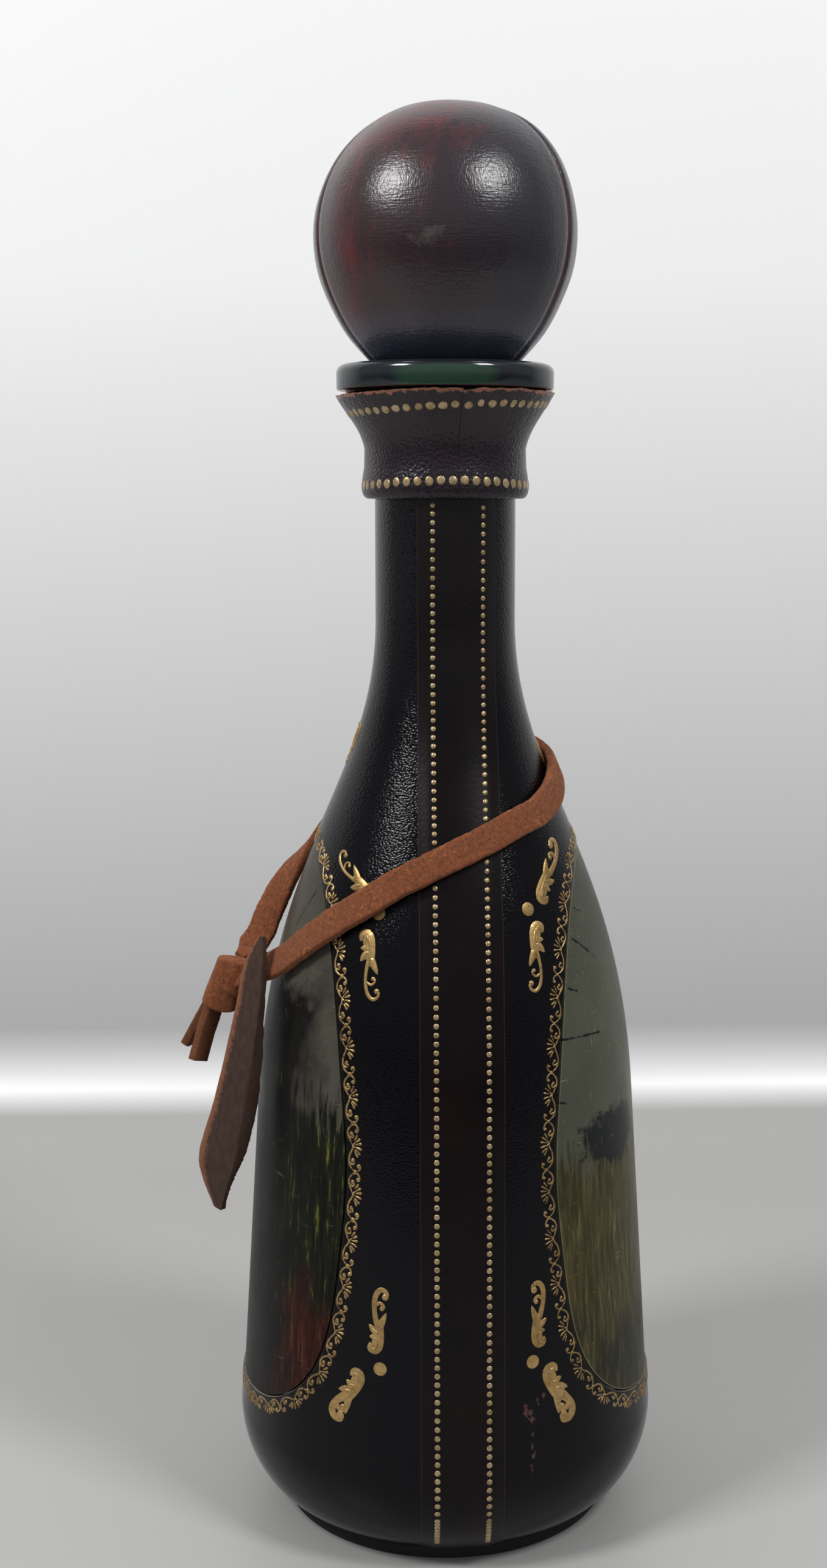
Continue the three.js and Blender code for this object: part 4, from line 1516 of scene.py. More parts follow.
@dataclass
class BallStopper:
    """The stopper: leather gores sewn over a turned ball, with a cork below."""

    radius: float = 26.8
    centre_z: float = 268.9
    seat: Pair = (13.15, 241.0)
    thickness: float = 1.2
    seams_degrees: Triple = (-74.0, 65.0, 180.0)
    seam_gap: float = 0.16
    most_gap: float = 0.03
    crowding: float = 1.5
    tuck: float = 0.55
    tuck_width: float = 0.75
    swell: Triple = (0.1, 2.2, 1.5)
    dent: float = 0.1
    dent_spacing: float = 9.0
    bulge_degrees: Pair = (80.0, 44.0)
    bulge_height: float = 1.5
    bulge_width: float = 0.45
    fuller: Triple = (0.7, 250.5, 4.5)
    drawn_in: Triple = (0.8, 241.5, 2.6)
    grid: int = 84
    dowel_hole: Pair = (4.3, 13.3)

    @cached_property
    def bulge(self) -> Vector:
        """Which way the ball's leather bulges: up and to the right."""
        azimuth, rise = (math.radians(angle) for angle in self.bulge_degrees)
        return polar(math.cos(rise), azimuth, math.sin(rise))

    def profile(self, share: float) -> Pair:
        """The ball's face in outline: a cone up from the seat, then the round up to the pole.

        Args:
            share: Where on the outline, from 0 at the seat to 1 at the pole.

        Returns:
            The place as (radius, height).
        """
        drop = self.centre_z - self.seat[1]
        reach = math.hypot(self.seat[0], drop)
        tangent = -(math.atan2(drop, self.seat[0]) - math.acos(self.radius / reach))
        foot = (self.radius * math.cos(tangent), self.centre_z + self.radius * math.sin(tangent))
        cone = math.hypot(foot[0] - self.seat[0], foot[1] - self.seat[1])
        at = share * (cone + self.radius * (math.pi / 2 - tangent))
        if at < cone:
            t = at / cone
            return self.seat[0] + (foot[0] - self.seat[0]) * t, self.seat[1] + (foot[1] - self.seat[1]) * t
        angle = tangent + (at - cone) / self.radius
        return self.radius * math.cos(angle), self.centre_z + self.radius * math.sin(angle)

    def gore(self, word: str, start: float, end: float) -> None:
        """Lays one gore between two seams, its edges tucked in along them.

        Args:
            word: Which gore it is.
            start: Azimuth of the seam on its left.
            end: Azimuth of the seam on its right.
        """

        def lay(u: float, v: float) -> Vector:
            """A place on the gore, pushed out or in by what its leather does there."""
            radius, z = self.profile(v)
            radius = max(radius, 1e-4)
            half = min(self.seam_gap / 2 / radius, self.most_gap)
            spread = math.copysign(1 - (1 - abs(2 * u - 1)) ** self.crowding, u - 0.5) / 2 + 0.5
            azimuth = start + half + (end - start - 2 * half) * spread
            edge = min(azimuth - start, end - azimuth) * radius
            tucked = hump(edge, self.tuck, 0.0, self.tuck_width) * ease(radius, 1.0, 6.0)
            swell = hump(edge, *self.swell) * ease(radius, 4.0, 10.0)
            spacing = self.dent_spacing
            dent = self.dent * ripple(3.0, radius * math.sin(azimuth) / spacing,
                                      radius * math.cos(azimuth) / spacing, z / spacing)
            dented = dent * ease(z, 246, 256) * ease(radius, 1.0, 6.0)
            way = polar(radius, azimuth, z - self.centre_z).normalized()
            bulge = hump(way.angle(self.bulge), self.bulge_height, 0.0, self.bulge_width)
            fuller = hump(z, *self.fuller) - hump(z, *self.drawn_in)
            return polar(radius, azimuth, z) + way * (swell - tucked + dented + bulge + fuller)

        piece = laid_grid(f"ball_leather_{word}", self.grid, self.grid, lay, ring=True)
        face_out(piece)
        mount(piece, BALL_LEATHER, Body.STOPPER, [f"ball_cover_{word}"])
        apply(piece, "SOLIDIFY", thickness=self.thickness * MM, offset=-1.0)
        smooth(piece, 60)

    def build(self) -> None:
        """Sews the ball's cover and turns the cork; the dowel and the wooden ball stay as they are."""
        first, second, third = (math.radians(a) for a in self.seams_degrees)
        self.gore("front", first, second)
        self.gore("right", second, third)
        self.gore("left", third, first + math.tau)
        low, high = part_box("cork_plug")
        radius, bottom, top = high.x / MM, low.z / MM, high.z / MM
        hole, depth = self.dowel_hole
        outline = [
            (0, bottom), (radius - 1.5, bottom), (radius - 0.85, bottom + 0.3), (radius - 0.6, bottom + 0.9),
            (radius, top - 0.6), (radius - 0.2, top - 0.15), (radius - 0.7, top), (hole, top),
            (hole, top - depth), (0, top - depth),
        ]
        cork = spun("cork_smooth", outline, 72)
        smooth(cork, 40)
        mount(cork, CORK, Body.STOPPER, ["cork_plug"])
        for node in ("stopper_dowel", "stopper_ball"):
            WOOD.dress(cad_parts[node])


@dataclass(frozen=True)
class Stroke:
    """One flat stroke of the tooling with soft edges: a line with a width at each of its points."""

    points: tuple[Pair, ...]
    widths: tuple[float, ...]
    height: float = 0.2
    base: float = 0.0
    steps: int = 9
    crown: float = 0.6
    blunt: int = 8
    square: int = 6

    def build(self, name: str) -> Piece:
        """Models the stroke flat.

        Args:
            name: The piece's name.

        Returns:
            The piece.
        """

        def lay(u: float, v: float) -> Vector:
            """A place across the stroke, at a share of the way along it."""
            spot = curve_through(self.points, u)
            run = (curve_through(self.points, u + 0.02) - curve_through(self.points, u - 0.02)).normalized()
            width = curve_through([(w, 0.0) for w in self.widths], u).x
            rounded = math.sqrt(max(1 - (abs(2 * u - 1)) ** self.blunt, 0.004))
            side = 2 * v - 1
            offset = side * width / 2 * rounded
            rise = self.base + self.crown * self.height * (1 - side ** self.square) * min(1.0, rounded + 0.1)
            return Vector((spot.x - run.y * offset, spot.y + run.x * offset, rise))

        return laid_grid(name, self.steps, 4, lay)


def dome(name: str, diameter: float, height: float, at: Pair = (0.0, 0.0), sides: int = 10) -> Piece:
    """Models a low dome flat: half of a sphere, pressed down.

    Args:
        name: The piece's name.
        diameter: Across its foot.
        height: Of its crown.
        at: Where its middle is.
        sides: Faces round it.

    Returns:
        The piece.
    """
    bpy.ops.object.select_all(action="DESELECT")
    bpy.ops.mesh.primitive_uv_sphere_add(segments=sides, ring_count=6, radius=diameter / 2 * MM)
    piece = newest(name)
    pressed = (1.0, 1.0, 2 * height / diameter)
    edit(
        piece,
        (bpy.ops.mesh.bisect, {"plane_co": (0, 0, 0), "plane_no": (0, 0, 1), "clear_inner": True}),
        (bpy.ops.mesh.select_all, {"action": "SELECT"}),
        (bpy.ops.transform.resize, {"value": pressed, "center_override": (0.0, 0.0, 0.0)}),
        (bpy.ops.transform.translate, {"value": (at[0] * MM, at[1] * MM, 0.0)}),
    )
    return piece


def laid_copies(name: str, pattern: Piece, layings: Sequence[Laying]) -> Piece:
    """Copies a flat pattern once for each laying, lays each copy and joins them.

    Args:
        name: The joined piece's name.
        pattern: The flat pattern, which stays.
        layings: Each gives the place in millimetres for a point of the flat pattern.

    Returns:
        The joined piece.
    """
    copies = []
    for lay in layings:
        copy = pattern.copy()
        copy.data = pattern.data.copy()
        bpy.context.scene.collection.objects.link(copy)
        for vertex in copy.data.vertices:
            vertex.co = lay(vertex.co / MM) * MM
        copies.append(copy)
    piece = join(name, copies)
    edit(piece, (bpy.ops.mesh.normals_make_consistent, {"inside": False}))
    smooth(piece, 75)
    return piece


@dataclass
class GoldTooling:
    """Gold stamped in the leather: rows of dots, the windows' borders and the leaf ornaments."""

    strips: tuple[SeamStrip, SeamStrip]
    collar: Collar
    dot: Pair = (1.26, 0.17)
    dot_shrink: float = 0.16
    dot_pitch: float = 1.81
    dot_rows: float = 10.4
    dot_ends: Pair = (5.2, 215.4)
    dot_stagger: float = 0.5
    dot_uneven: float = 0.14
    wheel_dots: int = 12
    foot_dots: int = 4
    collar_dot: Pair = (1.9, 0.12)
    collar_rows: tuple[Quad, ...] = ((234.9, 2.48, 0.68, 0.0), (219.3, 2.42, 0.0, 1.0))
    collar_uneven: Pair = (0.16, 0.2)
    disc: Pair = (2.9, 0.14)
    curl_foot: float = 6.0
    curl_length: float = 8.5
    border_units: int = 34
    border_unit: float = 10.0
    border_steps: int = 1360
    sink: float = 0.03
    border_sink: float = 0.02
    collar_sink: float = 0.04

    def leaf(self, stamp: Stamp) -> Piece:
        """Models an acanthus leaf flat: its head at the origin, its stem and curl along Y, its lobes to +X.

        Args:
            stamp: Which of the leaf stamps.

        Returns:
            The pattern.
        """
        weight, reach = stamp.value

        def curl(*points: Pair) -> tuple[Pair, ...]:
            """Points of the curl, drawn out or in by the stamp's reach."""
            return tuple((x, self.curl_foot + (y - self.curl_foot) * reach) for x, y in points)

        def heavy(*widths: float) -> tuple[float, ...]:
            """Widths of the curl's lines by the stamp's weight."""
            return tuple(width * weight for width in widths)

        strokes = [
            Stroke(((0.0, 0.3), (-0.3, 2.3), (-0.35, 4.2), (-0.25, 6.0), (0.1, 7.8)),
                   (2.7, 3.0, 2.7, 2.2, 0.9), 0.3, steps=12),
            Stroke(((-0.3, 3.0), (0.0, 1.2), (1.1, 1.0), (1.55, 2.3)), (1.9, 2.7, 1.9, 0.6), 0.32, steps=12),
            Stroke(((-0.35, 4.2), (0.7, 3.75), (1.8, 3.6)), (1.9, 1.5, 0.4), 0.3),
            Stroke(((-0.3, 5.0), (0.9, 5.3), (2.2, 6.3)), (2.1, 1.8, 0.4), 0.3),
            Stroke(((-0.2, 5.8), (-0.85, 7.7), (-1.5, 9.7)), (2.0, 1.5, 0.4), 0.3),
            Stroke(curl((0.1, 6.0), (0.8, 7.9), (1.35, 10.0), (1.5, 11.9), (1.2, 13.5), (0.35, 14.5),
                        (-0.6, 14.4), (-1.15, 13.7), (-0.95, 13.0)),
                   heavy(1.4, 0.9, 0.75, 0.8, 0.85, 0.8, 0.7, 0.65, 0.65), 0.28, steps=24),
            Stroke(curl((1.3, 10.6), (0.3, 11.5), (-0.65, 11.05), (-0.7, 10.3)),
                   heavy(0.6, 0.55, 0.5, 0.5), 0.25),
            Stroke(((-0.45, 1.6), (-0.6, 4.0), (-0.35, 6.0), (0.35, 7.7)), (0.25, 0.4, 0.4, 0.3), 0.24, 0.2),
            Stroke(((-0.3, 3.4), (0.7, 3.6)), (0.35, 0.25), 0.22, 0.2, 6),
            Stroke(((-0.3, 4.8), (0.6, 5.1), (1.4, 5.8)), (0.35, 0.35, 0.2), 0.22, 0.2, 7),
            Stroke(((-0.3, 2.6), (0.1, 1.2), (0.9, 1.2), (1.05, 1.8)), (0.3, 0.4, 0.4, 0.3), 0.22, 0.24),
        ]
        parts = [stroke.build(f"leaf_stroke_{i}") for i, stroke in enumerate(strokes)]
        parts.append(dome("leaf_curl_end", 0.6 + 0.6 * weight, 0.24, curl((-0.78, 13.05))[0]))
        parts.append(dome("leaf_spiral_end", 0.5 + 0.4 * weight, 0.22, curl((-0.35, 10.35))[0]))
        return join("leaf_pattern", parts)

    def border(self, weight: float) -> Piece:
        """Models one repeat of a border flat: along X, with the window below and the shell above.

        Args:
            weight: How heavily it is stamped; 1 leaves fine lines.

        Returns:
            The pattern.
        """
        thin = tuple(width * (0.6 + 0.4 * weight) for width in (0.28, 0.38, 0.38, 0.28))
        lines = (
            (((0.0, 1.55), (1.0, 1.1), (2.1, 0.62), (3.3, 0.8), (4.0, 1.45), (4.5, 2.1)), 12),
            (((2.35, 1.55), (1.95, 1.9), (1.55, 1.6), (1.65, 1.1), (2.2, 0.7)), 9),
            (((4.5, 2.1), (4.1, 2.75), (3.4, 3.1), (2.85, 3.0), (2.75, 2.75)), 9),
            (((4.5, 2.15), (5.0, 2.95), (5.5, 3.25), (5.95, 3.15), (5.95, 2.9)), 9),
            (((4.6, 2.05), (5.2, 1.25), (6.0, 0.72), (7.2, 0.66), (8.4, 1.0), (9.4, 1.6), (10.0, 1.55)), 14),
            (((6.85, 1.6), (6.4, 1.9), (6.05, 1.5), (6.2, 1.0), (6.65, 0.68)), 9),
        )
        strokes = [Stroke(points, thin, 0.16, steps=steps) for points, steps in lines]
        for way in (-1, 1):
            points = ((10.0, 1.45), (10.0 + 0.25 * way, 1.9), (10.0 + 0.55 * way, 2.25))
            strokes.append(Stroke(points, (0.5, 0.4, 0.25), 0.18, steps=6))
        ribs = (((7.5, 2.75), (9.0, 1.95)), ((8.1, 3.35), (9.2, 2.1)), ((9.15, 3.75), (9.65, 2.2)),
                ((10.35, 3.85), (10.15, 2.2)), ((11.4, 3.55), (10.55, 2.15)), ((12.2, 2.95), (10.9, 2.0)))
        strokes += [Stroke(rib, (0.46 * weight, 0.2 * weight), 0.2, steps=5) for rib in ribs]
        parts = [stroke.build(f"border_stroke_{i}") for i, stroke in enumerate(strokes)]
        for i, at in enumerate(((2.4, 1.5), (2.95, 2.72), (5.75, 2.85), (6.9, 1.52))):
            parts.append(dome(f"border_curl_end_{i}", 0.66 * weight, 0.16, at, 8))
        parts.append(dome("border_fork", 0.75 * weight, 0.16, (4.5, 2.1), 8))
        return join("border_pattern", parts)

    def leaf_laying(self, stamp: Stamp, head: Pair, tail: Pair) -> Laying:
        """How a leaf lies on the wrap.

        Args:
            stamp: Which of the leaf stamps.
            head: Where its head is, as (degrees of azimuth, height).
            tail: Where its curl ends, in the same terms.

        Returns:
            The laying.
        """
        start, end = math.radians(head[0]), math.radians(tail[0])
        radius = FORM.radius((head[1] + tail[1]) / 2)
        run = Vector(((end - start) * radius, FORM.length(tail[1]) - FORM.length(head[1])))
        along = run.normalized()
        lobes = Vector((along.y, -along.x))
        to_window = math.copysign(1.0, math.copysign(90.0, head[0]) - head[0])
        if lobes.x * to_window < 0:
            lobes = -lobes
        scale = run.length / (self.curl_foot + self.curl_length * stamp.value[1])

        def lay(p: Vector) -> Vector:
            """A place on the wrap for a point of the leaf."""
            flat = (along * p.y + lobes * p.x) * scale
            return FORM.spread(start, head[1], flat.x, flat.y, p.z - self.sink)

        return lay

    def spot_laying(self, spot: Pair) -> Laying:
        """How a disc lies on the wrap at (degrees of azimuth, height)."""
        return lambda p: FORM.spread(math.radians(spot[0]), spot[1], p.x, p.y, p.z - self.border_sink)

    def border_layings(self, side: Side) -> list[Laying]:
        """How each repeat of the border lies round a window.

        Args:
            side: Which window.

        Returns:
            One laying for each repeat.
        """
        count = self.border_steps
        path = WINDOW.path(side, count)
        step = (FORM.place(*path[0]) - FORM.place(*path[1])).length
        unit = count / self.border_units
        middle = side.value * math.pi / 2
        ways: list[Vector] = []
        for k, (azimuth, z) in enumerate(path):
            (a0, z0), (a1, z1) = path[k - 3], path[(k + 3) % count]
            radius = FORM.radius(z)
            run = Vector(((a1 - a0) * radius, FORM.length(z1) - FORM.length(z0))).normalized()
            out = Vector((run.y, -run.x))
            away = Vector(((azimuth - middle) * radius, z - WINDOW.widest_z))
            ways.append(out if out.dot(away) > 0 else -out)

        def lay(number: int, p: Vector) -> Vector:
            """A place beside the window for a point of a repeat."""
            at = number * unit + p.x / self.border_unit * unit
            k = math.floor(at)
            t = at - k
            (a0, z0), (a1, z1) = path[k % count], path[(k + 1) % count]
            out = ways[k % count] * (1 - t) + ways[(k + 1) % count] * t
            reach = p.y * unit * step / self.border_unit
            lift = p.z - self.border_sink
            return FORM.spread(a0 + (a1 - a0) * t, z0 + (z1 - z0) * t, out.x * reach, out.y * reach, lift)

        return [partial(lay, number) for number in range(self.border_units)]

    def strip_layings(self, strip: SeamStrip) -> list[Laying]:
        """How each dot lies on a strip, in two rows rolled with a wheel that runs a little unevenly.

        Args:
            strip: The strip.

        Returns:
            One laying for each dot.
        """
        low, high = (FORM.length(z) for z in self.dot_ends)
        count = int((high - low) / self.dot_pitch)

        def lay(row: float, at: float, p: Vector) -> Vector:
            """A place on the strip for a point of a dot."""
            size = 1 - self.dot_shrink * (at - low) / (high - low)
            z = FORM.height(at + p.y * size)
            w = row + p.x * size
            return FORM.place(strip.azimuth(w, z), z, strip.lift(w) + p.z - self.sink)

        layings = []
        crowded = [count - 1.5 - number for number in range(self.foot_dots)]
        for number in [*range(count), *crowded]:
            uneven = self.dot_uneven * math.sin(math.tau * number / self.wheel_dots)
            at = high - number * self.dot_pitch + uneven
            layings.append(partial(lay, -self.dot_rows / 2, at))
            layings.append(partial(lay, self.dot_rows / 2, at - self.dot_stagger))
        return layings

    def collar_layings(self) -> list[Laying]:
        """How each dot lies on the collar, in a row near its top and a row on its roll.

        Returns:
            One laying for each dot.
        """
        ragged, astray = self.collar_uneven

        def lay(azimuth: float, z: float, p: Vector) -> Vector:
            """A place on the collar for a point of a dot."""
            radius, (radial, upward) = self.collar.surface(z)
            p = p * (1 + ragged * ripple(7.0, azimuth * 40, p.x, p.y))
            lift = p.z - self.collar_sink
            up = z + p.y * radial + upward * lift + self.collar.rise(azimuth, z)
            return polar(radius + p.y * -upward + radial * lift, azimuth + p.x / radius, up)

        layings = []
        for z, pitch, tilt, bow in self.collar_rows:
            count = round(math.tau * self.collar.surface(z)[0] / pitch)
            for number in range(count):
                azimuth = self.collar.seam + math.tau * (number + 0.5) / count
                rise = tilt * math.sin(azimuth) + bow * max(math.cos(azimuth), 0.0) ** 2
                layings.append(partial(lay, azimuth, z + rise + astray * ripple(4.0, number * 1.7)))
        return layings

    def build(self) -> None:
        """Stamps all the tooling."""
        dot = dome("dot_pattern", *self.dot)
        for strip, word in zip(self.strips, ("front", "back")):
            piece = laid_copies(f"gold_dots_{word}", dot, self.strip_layings(strip))
            mount(piece, GOLD_DOTS, Body.BOTTLE)
        flat_dot = dome("collar_dot_pattern", *self.collar_dot)
        piece = laid_copies("gold_dots_collar", flat_dot, self.collar_layings())
        mount(piece, GOLD_DOTS, Body.BOTTLE)
        for side, weight in ((Side.LEFT, 1.45), (Side.RIGHT, 1.0)):
            border = self.border(weight)
            piece = laid_copies(f"gold_border_{side.name.lower()}", border, self.border_layings(side))
            mount(piece, GOLD_BORDER, Body.BOTTLE)
            bpy.data.objects.remove(border)
        disc = dome("disc_pattern", *self.disc, sides=16)
        leaves = {
            Stamp.FINE: (((32.2, 132.9), (27.0, 119.9)), ((82.5, 166.0), (88.4, 157.5)),
                         ((-30.0, 137.0), (-50.2, 145.2)), ((-30.2, 131.7), (-24.2, 118.7)),
                         ((-80.0, 170.0), (-88.4, 161.5))),
            Stamp.HEAVY: (((23.7, 48.1), (23.8, 61.3)), ((-20.8, 47.6), (-19.0, 60.8)),
                          ((35.4, 136.4), (52.2, 147.2))),
            Stamp.BLUNT: (((26.0, 43.9), (32.7, 31.9)), ((-24.5, 43.5), (-32.2, 32.9))),
        }
        discs = ((29.6, 135.4), (22.0, 45.3), (-26.4, 135.0), (-19.3, 44.6))
        for word, turn in (("front", lambda a: a), ("back", lambda a: math.copysign(180.0, a) - a)):
            stamped = []
            for stamp, ends in leaves.items():
                leaf = self.leaf(stamp)
                layings = [self.leaf_laying(stamp, (turn(h[0]), h[1]), (turn(t[0]), t[1])) for h, t in ends]
                stamped.append(laid_copies(f"leaves_{stamp.name.lower()}", leaf, layings))
                bpy.data.objects.remove(leaf)
            piece = join(f"gold_leaves_{word}", stamped)
            mount(piece, GOLD, Body.BOTTLE)
            layings = [self.spot_laying((turn(a), z)) for a, z in discs]
            piece = laid_copies(f"gold_discs_{word}", disc, layings)
            mount(piece, GOLD, Body.BOTTLE)
        for pattern in (dot, flat_dot, disc):
            bpy.data.objects.remove(pattern)


@dataclass
class SuedeLace:
    """The suede lace: one loop round the shoulder, an overhand knot and two tails."""

    width: float = 6.0
    thickness: float = 2.05
    corners: Pair = (0.3, 0.42)
    pinch_from: float = 0.955
    steps: int = 520
    around: int = 18
    on_leather: float = 0.45
    on_strip: float = 0.7
    loop_lift: float = 1.0
    loop_length: float = 210.2
    knot_centre: Triple = (-46.6, -5.4, 115.4)
    knot_tilt: float = math.radians(18.0)
    knot_depth: float = 0.82
    knot_square: float = 3.2
    knot_radius: float = 3.45
    knot_taper: float = 0.07
    knot_lap: float = 0.6
    tail_steps: int = 44
    tail_wide: tuple[Triple, ...] = (
        (-48.2, -5.0, 113.0), (-49.2, -5.4, 110.4), (-51.0, -6.4, 105.0), (-52.7, -7.3, 98.8),
    )
    tail_narrow: tuple[Triple, ...] = (
        (-48.8, -3.2, 113.0), (-50.2, -2.6, 110.6), (-52.9, -2.2, 105.6), (-55.4, -1.8, 101.0),
    )

    @cached_property
    def route(self) -> list[Quad]:
        """The loop's route: degrees of azimuth, height, clearance under it and turn about its own line."""
        low, high = self.on_leather, self.on_strip
        return [
            (-82.5, 115.2, 6.6, 0), (-78, 117.2, 4.0, 0), (-72, 119.8, 1.4, 0), (-64, 122.8, low, 0),
            (-54.8, 126.8, low, 0), (-44.6, 131.1, low, 0), (-32, 136, low + 0.2, 0), (-18, 140.9, high, 0),
            (-1, 145.4, high, 0), (17, 149.1, high, 0), (29, 151.2, high, 0), (45, 153.2, low + 0.3, 0),
            (62, 156, low + 0.2, 0), (82, 159.4, low + 0.2, 0), (108, 161.8, low, 0),
            (137, 162.6, low + 0.2, 0), (165, 161.4, high, 0), (194, 157.6, high, 0),
            (220, 151.4, low + 0.4, 0), (240, 144.6, low + 0.2, -6),
            (252, 140.2, 0.8, -26), (259, 136.4, 1.4, -46), (264, 131.6, 2.1, -65), (267.5, 127.4, 2.6, -74),
            (270.2, 123.6, 3.1, -74), (272.8, 120.6, 4.6, -74), (275.2, 118.6, 6.4, -74),
        ]

    def strap(
        self, name: str, centres: Sequence[Vector], outwards: Sequence[Vector], turns: Sequence[float],
        seed: float, width: float, pinch: float = 0.0,
    ) -> Piece:
        """A flat strap of suede with soft uneven edges along places.

        Args:
            name: The piece's name.
            centres: Places along its middle.
            outwards: Which way its flat side faces at each.
            turns: Turn about its own line at each, in degrees.
            seed: Makes its unevenness its own.
            width: Across its flat side.
            pinch: Share of its width lost at its far end.

        Returns:
            The strap, closed at both ends.
        """
        last = len(centres) - 1
        centre_step = sum((b - a).length for a, b in zip(centres, centres[1:])) / last
        frames = []
        for i, centre in enumerate(centres):
            along = (centres[min(i + 1, last)] - centres[max(i - 1, 0)]).normalized()
            across = along.cross(outwards[i]).normalized()
            across = Matrix.Rotation(math.radians(turns[i]), 3, along) @ across
            frames.append((centre, across, across.cross(along).normalized()))

        def lay(u: float, v: float) -> Vector:
            """A place on the strap's skin, v of the way round its section."""
            i = round(u * last)
            centre, across, out = frames[i]
            c, s = math.cos(math.tau * v), math.sin(math.tau * v)
            x = math.copysign(abs(c) ** self.corners[0], c)
            y = math.copysign(abs(s) ** self.corners[1], s)
            at = i * centre_step
            wide = width / 2 + 0.14 * ripple(seed, at * 0.16, x) + 0.12 * ripple(seed + 3, at * 1.1, x)
            wide += 0.1 * ripple(seed + 11, at * 2.6, 3 * x)
            wide *= 1 - pinch * ease(i / last, self.pinch_from, 1.0)
            thick = self.thickness / 2 * (1 + 0.07 * ripple(seed + 5, at * 0.23, 1.5 * x, y))
            return centre + across * (wide * x) + out * (thick * y)

        piece = laid_grid(name, last, self.around, lay, ring=True)
        close_ends(piece)
        smooth(piece, 70)
        return piece

    def loop(self) -> tuple[Piece, list[Vector]]:
        """The loop round the shoulder.

        Returns:
            The loop, and its middle line in metres.
        """
        spots = [row[:3] for row in self.route]
        knots = list(range(len(self.route)))
        twists = [row[3] for row in self.route]
        centres, outwards, turns = [], [], []
        for i in range(self.steps + 1):
            share = i / self.steps
            azimuth, z, clearance = curve_through(spots, share)
            angle = math.radians(azimuth)
            centres.append(FORM.place(angle, z, clearance + self.loop_lift))
            radial, upward = FORM.normal(z)
            outwards.append(polar(radial, angle, upward))
            turns.append(between(knots, twists, share * knots[-1]))
        piece = self.strap("lace", centres, outwards, turns, 1.0, self.width, 0.6)
        mount(piece, SUEDE, Body.BOTTLE, ["lace_loop"])
        return piece, [centre * MM for centre in centres]

    def knot(self) -> Piece:
        """The knot: the lace folded flat round itself in a short sleeve, with one turn lapping the other.

        Returns:
            The knot.
        """
        axis = Vector((math.sin(self.knot_tilt), 0.0, math.cos(self.knot_tilt)))
        front = Vector((0.0, -1.0, 0.0))
        side = axis.cross(front)
        power = self.knot_square

        def lay(u: float, v: float) -> Vector:
            """A place on the sleeve, which closes in at both of its ends."""
            angle = math.tau * u - math.pi
            c, s = math.cos(angle), math.sin(angle)
            low = -5.0 - 1.5 * max(c, 0.0)
            along = low + (5.6 + 0.5 * s - low) * v
            flat = (abs(c) ** power + abs(s) ** power) ** (-1 / power)
            fold = -1.3 - 0.28 * 3.4 * s
            lapped = ease(angle, -0.25, 0.25) * (1 - ease(angle, 2.2, 2.9))
            lapped *= ease(along, fold - 0.14, fold + 0.14)
            soft = 0.16 * ripple(2.0, 1.4 * c, 1.4 * s, along * 0.3)
            closed = min(1.0, 14.0 * min(v, 1 - v) + 0.001)
            reach = flat * (self.knot_radius - self.knot_taper * along) + self.knot_lap * lapped + soft
            reach *= math.sqrt(closed * (2 - closed))
            return (Vector(self.knot_centre) + axis * along + front * (self.knot_depth * reach * c)
                    + side * (reach * s))

        piece = laid_grid("lace_knot_wound", 96, 90, lay, ring=True)
        close_ends(piece)
        smooth(piece, 50)
        return mount(piece, SUEDE, Body.BOTTLE, ["lace_knot"])

    def tail(self, word: str, route: Sequence[Triple], facing: Triple, seed: float, width: float) -> Piece:
        """One of the two ends that hang from the knot.

        Args:
            word: Which end it is.
            route: Places along its middle.
            facing: Which way its flat side faces.
            seed: Makes its unevenness its own.
            width: Across its flat side.

        Returns:
            The tail.
        """
        count = self.tail_steps + 1
        centres = [curve_through(route, i / self.tail_steps) for i in range(count)]
        piece = self.strap(f"tail_{word}", centres, [Vector(facing)] * count, [0.0] * count, seed, width)
        return mount(piece, SUEDE_SHADED_TAILS, Body.BOTTLE, [f"lace_tail_{word}"])

    def build(self, tag: Piece) -> None:
        """Args:
            tag: The tag that hangs on it; not used.
        """
        loop, path = self.loop()
        pieces = [
            self.knot(),
            self.tail("wide", self.tail_wide, (0.85, -0.55, 0.1), 7.0, 4.8),
            self.tail("narrow", self.tail_narrow, (0.95, -0.3, 0.0), 9.0, 4.2),
            tag,
        ]


